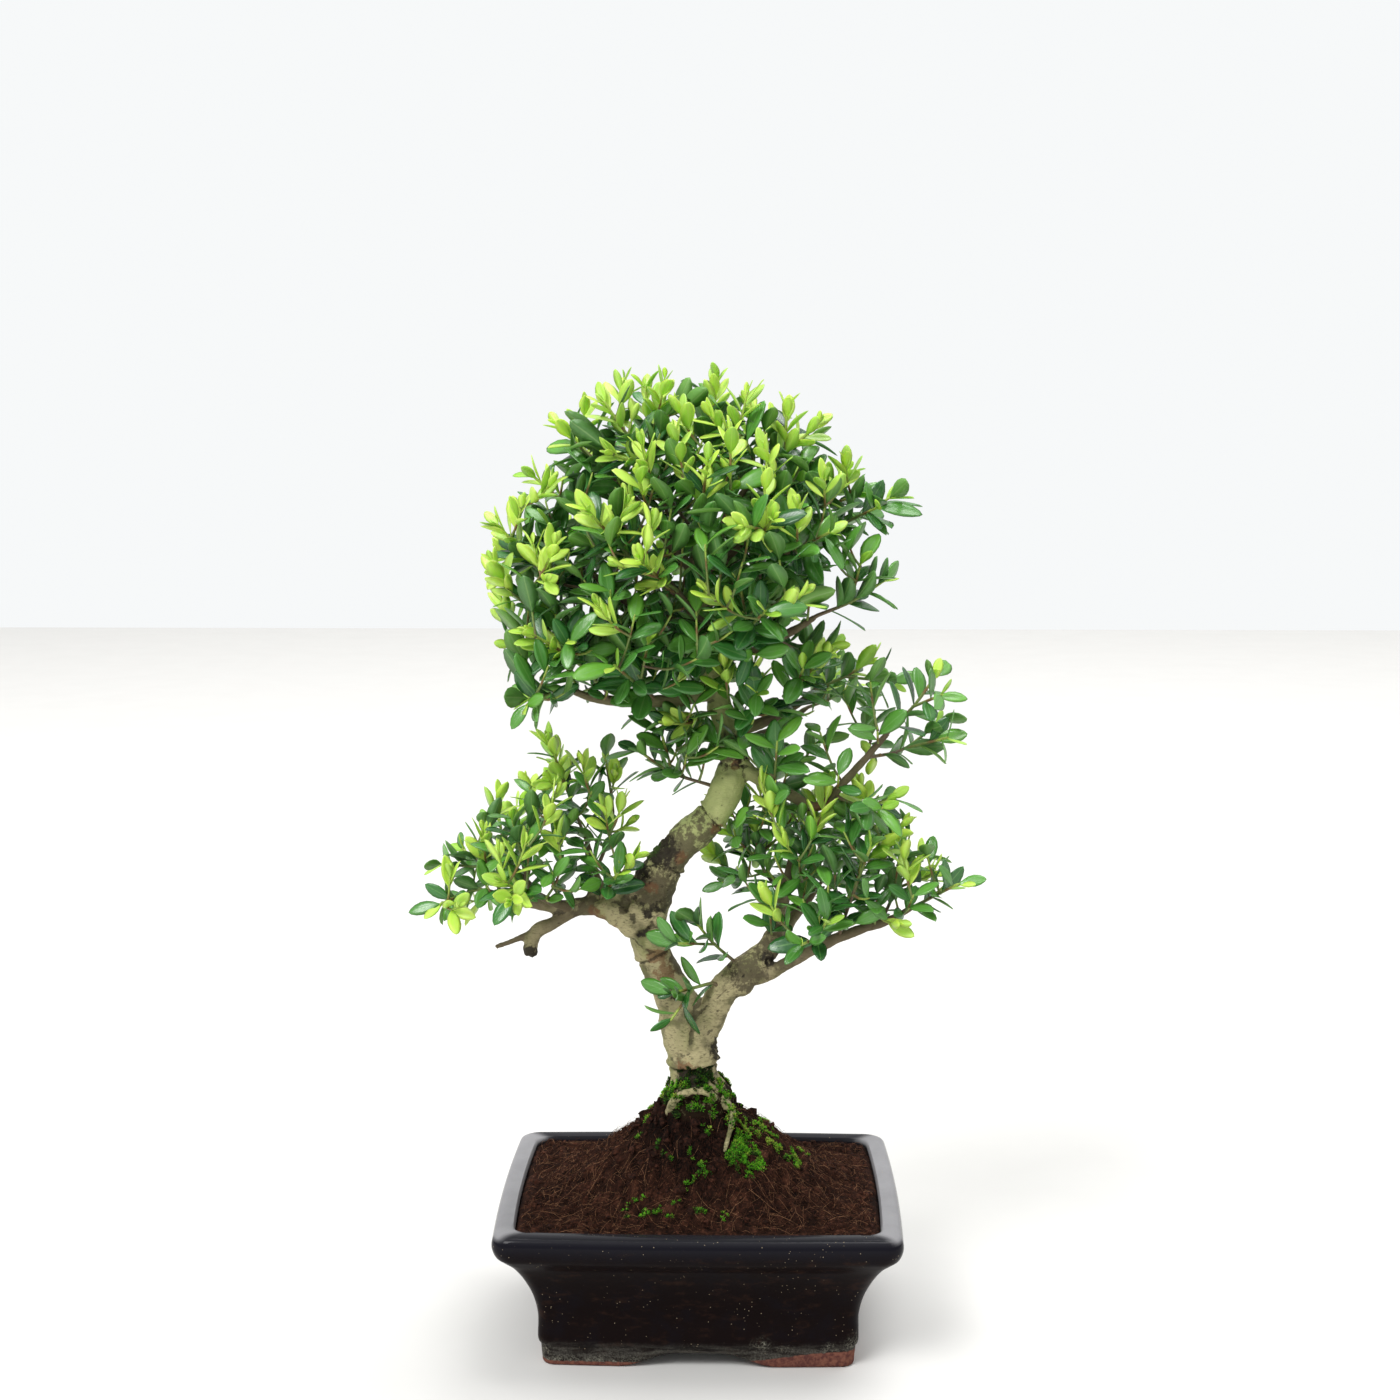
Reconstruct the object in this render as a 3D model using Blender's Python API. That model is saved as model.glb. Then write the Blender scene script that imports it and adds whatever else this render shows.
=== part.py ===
"""A Japanese holly grown as a bonsai, in a dark glazed rectangular pot.

Sizes and places are in millimetres until a mesh is made. X runs along the pot,
Y runs away from the viewer and Z runs up. The pot stands on Z = 0.
"""

import math
import random

import bmesh
import bpy
from mathutils import Matrix, Vector, noise
from mathutils.bvhtree import BVHTree
from mathutils.geometry import interpolate_bezier

MM = 0.001
SEAT_GAP = 0.3
UP = Vector((0, 0, 1))

# Pot: half sizes at the rim, and how the plan changes as it is drawn in
POT_HALF_LENGTH = 100.0
POT_HALF_DEPTH = 75.0
SIDE_BOW = 1.6
CORNER_RADIUS = 9.0
CORNER_TIGHTENING = 0.12
CORNER_STEPS = 3
LONG_SIDE_STEPS = 4
SHORT_SIDE_STEPS = 2

# Pot: height and how far the plan is drawn in there, up the outside
OUTER_PROFILE = (
    (0.0, 22.0),
    (10.0, 21.4),
    (13.0, 20.1),
    (25.0, 20.7),
    (35.5, 19.1),
    (45.5, 15.0),
    (53.5, 9.8),
    (58.0, 4.4),
    (61.5, 1.4),
    (67.0, 0.0),
    (71.5, 0.8),
    (73.5, 3.4),
    (73.5, 8.2),
    (72.0, 10.4),
)

# Pot: the same down the inside, as far as the floor
FLOOR_TOP = 14.0
INNER_PROFILE = (
    (62.0, 12.0),
    (50.0, 19.5),
    (36.0, 25.5),
    (16.0, 27.5),
    (FLOOR_TOP, 29.5),
)

# Feet: what is left of a low skirt once the underside and four arches are cut
UNDERSIDE_HEIGHT = 8.0
SKIRT_INSET = 31.0
ARCH_HEIGHT = 7.0
ARCH_STEPS = 4
FRONT_ARCH_HALF = 38.5
FRONT_ARCH_FLAT = 11.0
SIDE_ARCH_HALF = 27.0
SIDE_ARCH_FLAT = 8.0
DRAIN_OFFSET = 36.0
DRAIN_RADIUS = 7.0
DRAIN_SIDES = 12
CUTTER_MARGIN = 2.0
SHARP_ANGLE = 40.0

# Drainage mesh: a square net over each hole
MESH_SIZE = 24.0
MESH_THICKNESS = 0.8
MESH_WINDOWS = 2
MESH_WINDOW = 7.2
MESH_PITCH = 9.6

# Soil: a broad mound with a steeper root ball in its middle
SOIL_SIDE_INSET = 0.45
SOIL_EDGE = 68.5
MOUND_RISE = 46.0
MOUND_HALF_LENGTH = 92.0
MOUND_HALF_DEPTH = 68.0
ROOT_BALL_RISE = 8.0
ROOT_BALL_RADIUS = 34.0
ROOT_BALL_CENTRE = (-2.0, -4.0)
SOIL_RINGS = (0.14, 0.31, 0.48, 0.65, 0.8)
SOIL_LUMP = 1.5
SOIL_LUMP_SIZE = 15.0
STEM_POINTS_IN_SOIL = 6

# Wood: number of sides, then points along the axis with their radius
TRUNK = {
    "stem": (10, (
        (0, 0, 86, 12), (0, 0, 100, 16), (-1, 0, 114, 19), (-2, 0, 122, 17.5),
        (-3, 0, 130, 14.2), (-4, 0, 140, 13.6), (-5, 0, 150, 14), (-8, 1, 160, 12.6),
        (-12, 1, 170, 10.4), (-18, 2, 181, 9.2), (-24, 3, 195, 9), (-27, 4, 207, 10.4),
        (-26, 4, 219, 12), (-21, 3, 231, 10.4), (-14, 2, 243, 8.8), (-5, 1, 253, 8.8),
        (6, 0, 263, 8.2), (12, 0, 274, 8.4), (16, 0, 287, 7.6), (15, 1, 299, 6.4),
        (11, 1, 314, 5.6), (4, 1, 338, 5), (1, 1, 354, 4.4), (0, 2, 371, 3.8),
        (-1, 1, 392, 3), (0, 0, 412, 2),
    )),
}
ROOTS = {
    "front_root": (6, (
        (8, -6, 120, 6.5), (17, -12, 117, 4.4), (17, -20, 110, 3.8), (13, -27, 102, 3.4),
        (10, -35, 90, 2.6),
    )),
    "arched_root": (6, (
        (-13, -8, 116, 3.6), (-12, -15, 123, 3), (-5, -19, 126, 2.8), (2, -19, 122, 2.8),
        (5, -21, 110, 2.6),
    )),
    "left_root": (6, (
        (-10, -2, 117, 6), (-22, -6, 110, 4), (-34, -8, 101, 3), (-45, -9, 89, 2.2),
    )),
    "right_root": (6, (
        (12, 0, 116, 6), (26, -6, 110, 4), (37, -11, 101, 3), (47, -15, 89, 2.2),
    )),
    "back_root": (6, (
        (2, 8, 116, 6), (4, 20, 109, 4), (6, 31, 99, 3), (6, 41, 86, 2.2),
    )),
}
BRANCHES = {
    "right_limb": (8, (
        (-2, 0, 146, 8), (4, -1, 160, 8.4), (9, -2, 170, 7.4), (15, -3, 179, 7.8),
        (24, -3, 187, 7.4), (33, -1, 195, 6), (38, 2, 204, 4.6), (41, 4, 217, 3.4),
        (44, 6, 232, 2.6), (47, 8, 246, 1.8),
    )),
    "right_arm": (6, (
        (18, -4, 180, 4.6), (32, -6, 184, 3.8), (46, -8, 192, 3.2), (60, -8, 200, 3),
        (78, -6, 207, 2.6), (94, -4, 212, 2.2), (105, -3, 218, 1.6),
    )),
    "right_back": (4, (
        (34, 0, 197, 4.2), (47, 16, 208, 3), (60, 32, 220, 1.8),
    )),
    "left_limb": (8, (
        (-30, 4, 214, 6), (-38, 3, 218, 6.8), (-47, 1, 219, 6.2), (-56, 0, 217, 4.8),
        (-66, -2, 217, 3.8), (-80, -3, 219, 3.2), (-95, -2, 221, 2.6), (-108, 0, 225, 1.8),
    )),
    "left_stub": (6, (
        (-60, -2, 217, 3.2), (-72, -5, 210, 3.4), (-80, -7, 206, 4), (-84, -8, 196, 4.4),
    )),
    "left_snag": (6, (
        (-77, -6, 208, 2), (-90, -7, 202, 1.6), (-101, -7, 198, 1.3),
    )),
    "left_rise": (4, (
        (-46, 1, 219, 4), (-53, 9, 231, 2.8), (-57, 14, 246, 1.8),
    )),
    "left_front": (4, (
        (-64, -2, 217, 2.8), (-72, -15, 223, 2.2), (-80, -25, 230, 1.5),
    )),
    "left_back": (4, (
        (-78, -2, 219, 2.6), (-87, 12, 226, 2), (-96, 25, 233, 1.5),
    )),
    "middle_limb": (6, (
        (15, 0, 291, 4.4), (24, -2, 286, 4), (33, -5, 281, 3.4), (45, -8, 275, 3),
        (57, -10, 270, 2.6), (66, -12, 278, 2.3), (79, -13, 293, 2), (91, -13, 307, 1.5),
    )),
    "middle_high": (4, (
        (13, 1, 303, 3.6), (28, 6, 308, 2.9), (44, 9, 315, 2.3), (58, 11, 325, 1.6),
    )),
    "middle_back": (4, (
        (15, 2, 296, 3.2), (26, 18, 299, 2.6), (40, 32, 303, 2), (53, 42, 310, 1.5),
    )),
    "crown_left_low": (6, (
        (8, 1, 326, 4), (-6, -8, 323, 3.4), (-28, -14, 322, 3), (-48, -18, 324, 2.4),
        (-62, -21, 329, 1.7),
    )),
    "crown_left": (4, (
        (1, 1, 353, 3.4), (-18, 6, 360, 2.9), (-38, 8, 370, 2.3), (-54, 8, 383, 1.6),
    )),
    "crown_left_high": (4, (
        (-1, 1, 381, 2.8), (-16, -4, 400, 2.2), (-29, -6, 418, 1.6),
    )),
    "crown_right_low": (4, (
        (4, 1, 340, 3.6), (22, -10, 346, 3), (41, -17, 355, 2.3), (55, -20, 364, 1.6),
    )),
    "crown_right": (4, (
        (0, 2, 367, 3.2), (22, 6, 378, 2.7), (42, 8, 391, 2.1), (56, 8, 401, 1.5),
    )),
    "crown_right_high": (4, (
        (-1, 1, 393, 2.5), (13, -2, 411, 2), (25, -4, 428, 1.5),
    )),
    "crown_back": (4, (
        (3, 1, 348, 3.2), (-2, 22, 358, 2.7), (-6, 40, 369, 2.1), (-8, 53, 380, 1.5),
    )),
    "crown_back_right": (4, (
        (0, 2, 374, 2.8), (13, 18, 386, 2.2), (26, 35, 397, 1.6),
    )),
    "crown_back_left": (4, (
        (1, 2, 361, 2.8), (-16, 20, 376, 2.3), (-32, 36, 390, 1.6),
    )),
    "crown_front": (4, (
        (2, 1, 359, 3), (-4, -18, 367, 2.4), (-10, -35, 378, 1.6),
    )),
    "crown_front_right": (4, (
        (0, 2, 379, 2.7), (13, -17, 392, 2.1), (24, -33, 403, 1.5),
    )),
}

# Leafy sprays: the branch each grows from, how far along it, and where its tip is
SPRAYS = {
    "crown": (
        ("crown_left_low", 1.0, (-88, -26, 330)),
        ("crown_left", 0.55, (-99, 6, 350)),
        ("crown_left", 1.0, (-103, 10, 396)),
        ("crown_left", 0.8, (-100, -16, 414)),
        ("crown_left_high", 0.7, (-86, 6, 436)),
        ("crown_left_high", 1.0, (-70, -10, 461)),
        ("crown_left_high", 0.5, (-46, -26, 473)),
        ("stem", 0.975, (-28, 10, 480)),
        ("stem", 1.0, (9, 4, 484)),
        ("crown_right_high", 0.6, (38, 14, 463)),
        ("crown_right_high", 1.0, (60, -10, 462)),
        ("crown_right", 0.75, (74, 26, 438)),
        ("crown_right", 1.0, (96, 2, 426)),
        ("crown_right_low", 1.0, (92, -20, 388)),
        ("crown_right_low", 0.65, (70, 6, 352)),
        ("crown_front", 0.6, (-54, -52, 424)),
        ("crown_front", 1.0, (-28, -68, 402)),
        ("crown_front_right", 0.5, (4, -54, 446)),
        ("crown_front_right", 1.0, (36, -68, 420)),
        ("crown_right_low", 0.4, (32, -66, 378)),
        ("crown_left_low", 0.45, (-40, -60, 352)),
        ("crown_right", 0.5, (64, -42, 412)),
        ("crown_back_left", 1.0, (-62, 56, 410)),
        ("crown_back_left", 0.6, (-26, 52, 440)),
        ("crown_back", 1.0, (-20, 80, 392)),
        ("crown_back", 0.6, (24, 62, 362)),
        ("crown_back_right", 1.0, (40, 62, 424)),
        ("crown_back", 0.4, (-52, 46, 352)),
        ("crown_left_low", 0.75, (-82, -44, 366)),
    ),
    "left": (
        ("left_limb", 1.0, (-132, -4, 226)),
        ("left_limb", 0.9, (-122, 14, 250)),
        ("left_back", 1.0, (-104, 34, 262)),
        ("left_limb", 0.7, (-92, -14, 272)),
        ("left_rise", 1.0, (-76, 4, 308)),
        ("left_rise", 0.6, (-48, 26, 296)),
        ("left_front", 1.0, (-96, -44, 246)),
        ("left_limb", 0.25, (-38, -26, 246)),
    ),
    "middle": (
        ("middle_limb", 1.0, (116, -14, 342)),
        ("middle_limb", 0.85, (122, 8, 316)),
        ("middle_high", 1.0, (88, 20, 344)),
        ("middle_high", 0.55, (62, -16, 352)),
        ("middle_high", 0.25, (28, -32, 336)),
        ("middle_limb", 0.6, (98, -22, 282)),
        ("middle_back", 1.0, (80, 58, 326)),
    ),
    "right": (
        ("right_arm", 1.0, (124, -4, 236)),
        ("right_arm", 0.85, (112, 20, 246)),
        ("right_arm", 0.6, (84, -28, 262)),
        ("right_limb", 1.0, (64, 4, 284)),
        ("right_limb", 0.8, (26, 12, 262)),
        ("right_back", 1.0, (78, 52, 246)),
        ("right_arm", 0.45, (62, -40, 226)),
    ),
    "trunk": (
        ("right_limb", 0.3, (-18, -24, 184)),
        ("right_limb", 0.4, (-4, -10, 218)),
        ("stem", 0.6, (-34, -10, 304)),
        ("stem", 0.72, (-20, -26, 318)),
    ),
}

# Twigs: how each leaves the bark, bends and turns up at its tip
TWIG_SIDES = 4
TWIG_RADIUS = 1.25
TIP_RADIUS = 0.75
SEAT_LENGTH = 1.5
TWIG_STEPS = 3
TIP_LEAF_REACH = 8.0
STEM_CLEARANCE = 0.5
START_INSIDE = 2.0
SQUARE_TO_BRANCH = 0.75
HANDLE_SHARE = 0.3
TIP_UPTURN = 0.7
SEAT_SHIFTS = (0.0, -0.06, 0.06, -0.12, 0.12)
SIDE_BENDS = (0, 5, -5, 9, -9, 14, -14)
REACH_MARGIN = 2.0

# Side shoots
SIDE_SHOOT_SHARE = 0.5
SIDE_SHOOT_LENGTH = 21.0
SIDE_SHOOT_SPREAD = (0.85, 1.15)
SIDE_SHOOT_ANGLE = 50.0
SIDE_SHOOT_RADIUS = 0.85
SIDE_SHOOT_UPTURN = 0.25
SIDE_SHOOT_TURN = 45

# Leaves: share of the length, and of the half width there
MATURE_OUTLINE = ((0.0, 0.0), (0.58, 1.0), (1.0, 0.36))
YOUNG_OUTLINE = ((0.0, 0.0), (0.58, 1.0), (1.0, 0.0))
LEAF_THICKNESS = 0.7
LEAF_CLEARANCE = 0.4
LEAF_WIDTH_SHARE = 0.46
LEAF_FACING_UP = 0.5
GOLDEN_ANGLE = 137.5
LEAF_TURNS = (0, 24, -24, 48, -48, 72, -72, 100, -100)

# Leaves: the least of each value, and how much a draw between 0 and 1 adds to it
MATURE_LENGTH = (15.5, 5.0)
MATURE_LEAN = (46, 18)
MATURE_ARCH = (0.06, 0.16)
YOUNG_LENGTH = (8.5, 4.5)
YOUNG_LEAN = (22, 18)
YOUNG_ARCH = (0.0, 0.05)

# Leaves: distance back from the tip of the shoot
YOUNG_PLACES = (0.8, 2.4)
SIDE_YOUNG_PLACES = (0.8,)
MATURE_START = 10.0
MATURE_SPREAD = 0.17
MATURE_SPACING = (7.0, 14.0)
MAIN_MATURE_LEAVES = 3
SIDE_MATURE_LEAVES = 1

# Finishes: colour and roughness
GLAZE_COLOUR = (0.012, 0.012, 0.016)
GLAZE_ROUGHNESS = 0.12
PLASTIC_COLOUR = (0.02, 0.02, 0.02)
PLASTIC_ROUGHNESS = 0.5
SUBSTRATE_COLOUR = (0.06, 0.03, 0.018)
SUBSTRATE_ROUGHNESS = 0.95
BARK_COLOUR = (0.33, 0.29, 0.2)
BARK_ROUGHNESS = 0.85
LEAF_COLOUR = (0.05, 0.16, 0.035)
LEAF_ROUGHNESS = 0.35


def clear_scene():
    for leftover in list(bpy.data.objects):
        bpy.data.objects.remove(leftover)


def collection(name):
    made = bpy.data.collections.new(name)
    bpy.context.scene.collection.children.link(made)
    return made


def finish(name, colour, roughness):
    material = bpy.data.materials.new(name)
    material.use_nodes = True
    shader = material.node_tree.nodes["Principled BSDF"]
    shader.inputs["Base Color"].default_value = (*colour, 1)
    shader.inputs["Roughness"].default_value = roughness
    shader.inputs["Metallic"].default_value = 0.0
    return material


def place(name, mesh, holder, material=None):
    """An object for the mesh, in its collection."""
    made = bpy.data.objects.new(name, mesh)
    holder.objects.link(made)
    if material:
        mesh.materials.clear()
        mesh.materials.append(material)
    return made


def to_mesh(name, shape):
    """A mesh in metres from a bmesh in millimetres."""
    bmesh.ops.scale(shape, vec=(MM, MM, MM), verts=shape.verts)
    mesh = bpy.data.meshes.new(name)
    shape.to_mesh(mesh)
    shape.free()
    return mesh


def evaluated_mesh(made):
    """The object's mesh once its modifiers or its bevel are worked out, and welded."""
    graph = bpy.context.evaluated_depsgraph_get()
    mesh = bpy.data.meshes.new_from_object(made.evaluated_get(graph))
    shape = bmesh.new()
    shape.from_mesh(mesh)
    bmesh.ops.remove_doubles(shape, verts=shape.verts, dist=0.001 * MM)
    shape.to_mesh(mesh)
    shape.free()
    return mesh


def loft(name, rings):
    """A closed body through the rings, with its first and its last ring filled."""
    shape = bmesh.new()
    loops = [[shape.verts.new(point) for point in ring] for ring in rings]
    for lower, upper in zip(loops, loops[1:]):
        for i in range(len(lower)):
            j = (i + 1) % len(lower)
            shape.faces.new((lower[i], lower[j], upper[j], upper[i]))
    shape.faces.new(loops[0])
    shape.faces.new(loops[-1])
    bmesh.ops.recalc_face_normals(shape, faces=shape.faces)
    return to_mesh(name, shape)


def tube(name, path, sides, extra=0.0):
    """A round body along the path of points with radii, each made wider by extra."""
    curve = bpy.data.curves.new(name, "CURVE")
    curve.dimensions = "3D"
    curve.bevel_depth = MM
    curve.bevel_resolution = (sides - 4) // 2
    curve.use_fill_caps = True
    spline = curve.splines.new("POLY")
    spline.points.add(len(path) - 1)
    for knot, (x, y, z, radius) in zip(spline.points, path):
        knot.co = (x * MM, y * MM, z * MM, 1)
        knot.radius = radius + extra
    guide = place(name, curve, bpy.context.scene.collection)
    mesh = evaluated_mesh(guide)
    bpy.data.objects.remove(guide)
    bpy.data.curves.remove(curve)
    return mesh


def combine(base, pieces, operation):
    """Joins the collection's pieces to the base, or cuts them from it, and removes them."""
    boolean = base.modifiers.new(operation.lower(), "BOOLEAN")
    boolean.operation = operation
    boolean.operand_type = "COLLECTION"
    boolean.collection = pieces
    boolean.solver = "EXACT"
    old = base.data
    base.data = evaluated_mesh(base)
    base.modifiers.clear()
    bpy.data.meshes.remove(old)
    for piece in list(pieces.objects):
        bpy.data.objects.remove(piece)


# Pot


def plan_corners(half_length, half_depth, radius):
    """Four rounded corners, anticlockwise from the one at +X +Y."""
    signs = ((1, 1), (-1, 1), (-1, -1), (1, -1))
    corners = []
    for number, (sign_x, sign_y) in enumerate(signs):
        x = sign_x * (half_length - radius)
        y = sign_y * (half_depth - radius)
        corner = []
        for step in range(CORNER_STEPS + 1):
            angle = math.radians(90 * (number + step / CORNER_STEPS))
            corner.append(Vector((x + radius * math.cos(angle), y + radius * math.sin(angle))))
        corners.append(corner)
    return corners


def pot_plan(inset):
    """The pot's plan drawn in by inset: rounded corners and slightly bowed sides."""
    radius = CORNER_RADIUS - inset * CORNER_TIGHTENING
    half_length = POT_HALF_LENGTH - SIDE_BOW - inset
    half_depth = POT_HALF_DEPTH - SIDE_BOW - inset
    corners = plan_corners(half_length, half_depth, radius)
    outward = (Vector((0, 1)), Vector((-1, 0)), Vector((0, -1)), Vector((1, 0)))
    points = []
    for number, corner in enumerate(corners):
        points += corner
        start = corner[-1]
        end = corners[(number + 1) % 4][0]
        steps = SHORT_SIDE_STEPS if number % 2 else LONG_SIDE_STEPS
        for step in range(1, steps):
            share = step / steps
            bow = SIDE_BOW * (1 - (2 * share - 1) ** 2)
            points.append(start.lerp(end, share) + bow * outward[number])
    return points


def pot_ring(height, inset):
    return [Vector((point.x, point.y, height)) for point in pot_plan(inset)]


def arch_outline(half_width, half_flat):
    """An S curve up from each foot to a flat top between them, closed below the pot."""
    below = -CUTTER_MARGIN
    rising = []
    for step in range(ARCH_STEPS + 1):
        share = step / ARCH_STEPS
        x = half_width + (half_flat - half_width) * share
        rising.append((x, ARCH_HEIGHT * share * share * (3 - 2 * share)))
    right = [(half_width, below)] + rising
    left = [(-x, z) for x, z in reversed(right)]
    return right + left


def arch_cutter(name, outline, half_length, along_x, holder):
    """A bar of the arch's outline, lying along X or along Y right through the skirt."""
    curve = bpy.data.curves.new(name, "CURVE")
    curve.dimensions = "2D"
    curve.fill_mode = "BOTH"
    curve.extrude = (half_length + CUTTER_MARGIN) * MM
    spline = curve.splines.new("POLY")
    spline.points.add(len(outline) - 1)
    for knot, (x, z) in zip(spline.points, outline):
        knot.co = (x * MM, z * MM, 0, 1)
    spline.use_cyclic_u = True
    guide = place(name, curve, bpy.context.scene.collection)
    mesh = evaluated_mesh(guide)
    bpy.data.objects.remove(guide)
    bpy.data.curves.remove(curve)
    turn = Matrix.Rotation(math.radians(90), 4, "X")
    if along_x:
        turn = Matrix.Rotation(math.radians(90), 4, "Z") @ turn
    mesh.transform(turn)
    return place(name, mesh, holder)


def drain_cutter(name, x, holder):
    low = UNDERSIDE_HEIGHT - CUTTER_MARGIN
    high = FLOOR_TOP + CUTTER_MARGIN
    shape = bmesh.new()
    bmesh.ops.create_cone(
        shape,
        cap_ends=True,
        segments=DRAIN_SIDES,
        radius1=DRAIN_RADIUS,
        radius2=DRAIN_RADIUS,
        depth=high - low,
        matrix=Matrix.Translation((x, 0, (low + high) / 2)),
    )
    return place(name, to_mesh(name, shape), holder)


def build_pot(parts, cutters):
    rings = [pot_ring(height, inset) for height, inset in OUTER_PROFILE + INNER_PROFILE]
    glaze = finish("dark_glaze", GLAZE_COLOUR, GLAZE_ROUGHNESS)
    pot = place("pot", loft("pot", rings), parts, glaze)
    recess = [pot_ring(height, SKIRT_INSET) for height in (-CUTTER_MARGIN, UNDERSIDE_HEIGHT)]
    place("underside", loft("underside", recess), cutters)
    front = arch_outline(FRONT_ARCH_HALF, FRONT_ARCH_FLAT)
    side = arch_outline(SIDE_ARCH_HALF, SIDE_ARCH_FLAT)
    arch_cutter("front_arch", front, POT_HALF_DEPTH, False, cutters)
    arch_cutter("side_arch", side, POT_HALF_LENGTH, True, cutters)
    for number, x in enumerate((-DRAIN_OFFSET, DRAIN_OFFSET)):
        drain_cutter(f"drain_{number}", x, cutters)
    combine(pot, cutters, "DIFFERENCE")
    return pot


# Drainage mesh


def box(name, low, high, holder, material=None):
    """A block between its lowest and its highest corner."""
    size = [b - a for a, b in zip(low, high)]
    middle = [(a + b) / 2 for a, b in zip(low, high)]
    shape = bmesh.new()
    bmesh.ops.create_cube(shape, matrix=Matrix.Translation(middle) @ Matrix.Diagonal((*size, 1)))
    return place(name, to_mesh(name, shape), holder, material)


def build_drain_mesh(name, x, plastic, parts, cutters):
    half = MESH_SIZE / 2
    low = FLOOR_TOP + SEAT_GAP
    net = box(name, (x - half, -half, low), (x + half, half, low + MESH_THICKNESS), parts, plastic)
    window = MESH_WINDOW / 2
    for column in range(MESH_WINDOWS):
        for row in range(MESH_WINDOWS):
            middle_x = x + (column - (MESH_WINDOWS - 1) / 2) * MESH_PITCH
            middle_y = (row - (MESH_WINDOWS - 1) / 2) * MESH_PITCH
            low_corner = (middle_x - window, middle_y - window, low - CUTTER_MARGIN)
            top = low + MESH_THICKNESS + CUTTER_MARGIN
            high_corner = (middle_x + window, middle_y + window, top)
            box(f"window_{column}_{row}", low_corner, high_corner, cutters)
    combine(net, cutters, "DIFFERENCE")
    return net


# Soil


def soil_height(x, y):
    """The height of the soil: a broad mound, a root ball on it, and low lumps."""
    away = min(1.0, math.hypot(x / MOUND_HALF_LENGTH, y / MOUND_HALF_DEPTH))
    mound = MOUND_RISE * math.cos(math.pi / 2 * away) ** 2
    from_ball = math.hypot(x - ROOT_BALL_CENTRE[0], y - ROOT_BALL_CENTRE[1])
    ball = ROOT_BALL_RISE * math.cos(math.pi / 2 * min(1.0, from_ball / ROOT_BALL_RADIUS)) ** 2
    lump = SOIL_LUMP * noise.noise(Vector((x, y, 0)) / SOIL_LUMP_SIZE)
    return SOIL_EDGE + mound + ball + lump * (1 - away)


def soil_rings():
    """Rings up the inside of the pot and then over the mound to its middle."""
    walls = [(FLOOR_TOP + SEAT_GAP, INNER_PROFILE[-1][1] + SOIL_SIDE_INSET)]
    walls += [(height, inset + SOIL_SIDE_INSET) for height, inset in reversed(INNER_PROFILE[:-1])]
    walls.append((SOIL_EDGE, INNER_PROFILE[0][1] + SOIL_SIDE_INSET))
    rings = [pot_ring(height, inset) for height, inset in walls]
    edge = rings[-1]
    for share in SOIL_RINGS:
        ring = [point * (1 - share) for point in edge]
        rings.append([Vector((p.x, p.y, soil_height(p.x, p.y))) for p in ring])
    return rings


def lengthened(path, extra):
    """The path with both its ends moved outwards by extra."""
    moved = []
    for end, neighbour in ((path[0], path[1]), (path[-1], path[-2])):
        place_of_end = Vector(end[:3])
        away = (place_of_end - Vector(neighbour[:3])).normalized()
        moved.append((*(place_of_end + extra * away), end[3]))
    return [moved[0], *path[1:-1], moved[1]]


def socket(name, path, sides, holder):
    """The plain hole in which a root or the foot of the trunk stands."""
    return place(name, tube(name, lengthened(path, SEAT_GAP), sides, extra=SEAT_GAP), holder)


def build_soil(parts, cutters):
    substrate = finish("substrate", SUBSTRATE_COLOUR, SUBSTRATE_ROUGHNESS)
    soil = place("soil", loft("soil", soil_rings()), parts, substrate)
    sides, path = TRUNK["stem"]
    socket("stem_socket", path[:STEM_POINTS_IN_SOIL], sides, cutters)
    for name, (sides, path) in ROOTS.items():
        socket(f"{name}_socket", path, sides, cutters)
    half = MESH_SIZE / 2 + SEAT_GAP
    top = FLOOR_TOP + MESH_THICKNESS + 2 * SEAT_GAP
    for number, x in enumerate((-DRAIN_OFFSET, DRAIN_OFFSET)):
        low = FLOOR_TOP - CUTTER_MARGIN
        box(f"pocket_{number}", (x - half, -half, low), (x + half, half, top), cutters)
    combine(soil, cutters, "DIFFERENCE")
    return soil


# Wood


def build_trunk(parts, cutters):
    bark = finish("bark", BARK_COLOUR, BARK_ROUGHNESS)
    sides, path = TRUNK["stem"]
    trunk = place("trunk", tube("trunk", path, sides), parts, bark)
    for name, (sides, path) in {**ROOTS, **BRANCHES}.items():
        place(name, tube(name, path, sides), cutters)
    combine(trunk, cutters, "UNION")
    return trunk


# Clearances between pieces


def mesh_tree(mesh):
    """A search tree of the mesh's faces, in millimetres."""
    points = [vertex.co / MM for vertex in mesh.vertices]
    return BVHTree.FromPolygons(points, [tuple(face.vertices) for face in mesh.polygons])


def crosses(tree, centre, reach, others):
    """Whether the faces in the tree cross those of any of the others."""
    for other_tree, other_centre, other_reach in others:
        if (centre - other_centre).length > reach + other_reach:
            continue
        if tree.overlap(other_tree):
            return True
    return False


# Twigs


def along_path(path, share):
    """The place at a share of the path's length, and the path's direction there."""
    points = [Vector(point[:3]) for point in path]
    left = share * path_length(points)
    for start, end in zip(points, points[1:]):
        step = (end - start).length
        if left <= step or end is points[-1]:
            return start.lerp(end, min(1.0, left / step)), (end - start).normalized()
        left -= step


def path_length(points):
    return sum((end - start).length for start, end in zip(points, points[1:]))


def seat_on_wood(wood, path, share, tip):
    """Where a twig leaves the bark on its way to the tip, and the bark's direction there."""
    inside, direction = along_path(path, share)
    if share >= 1.0:
        inside = inside - START_INSIDE * direction
        aim = direction
    else:
        towards = Vector(tip) - inside
        aim = towards - SQUARE_TO_BRANCH * towards.dot(direction) * direction
    place_on_bark, normal, _, _ = wood.ray_cast(inside, aim.normalized())
    return place_on_bark + SEAT_GAP * normal, normal


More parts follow.
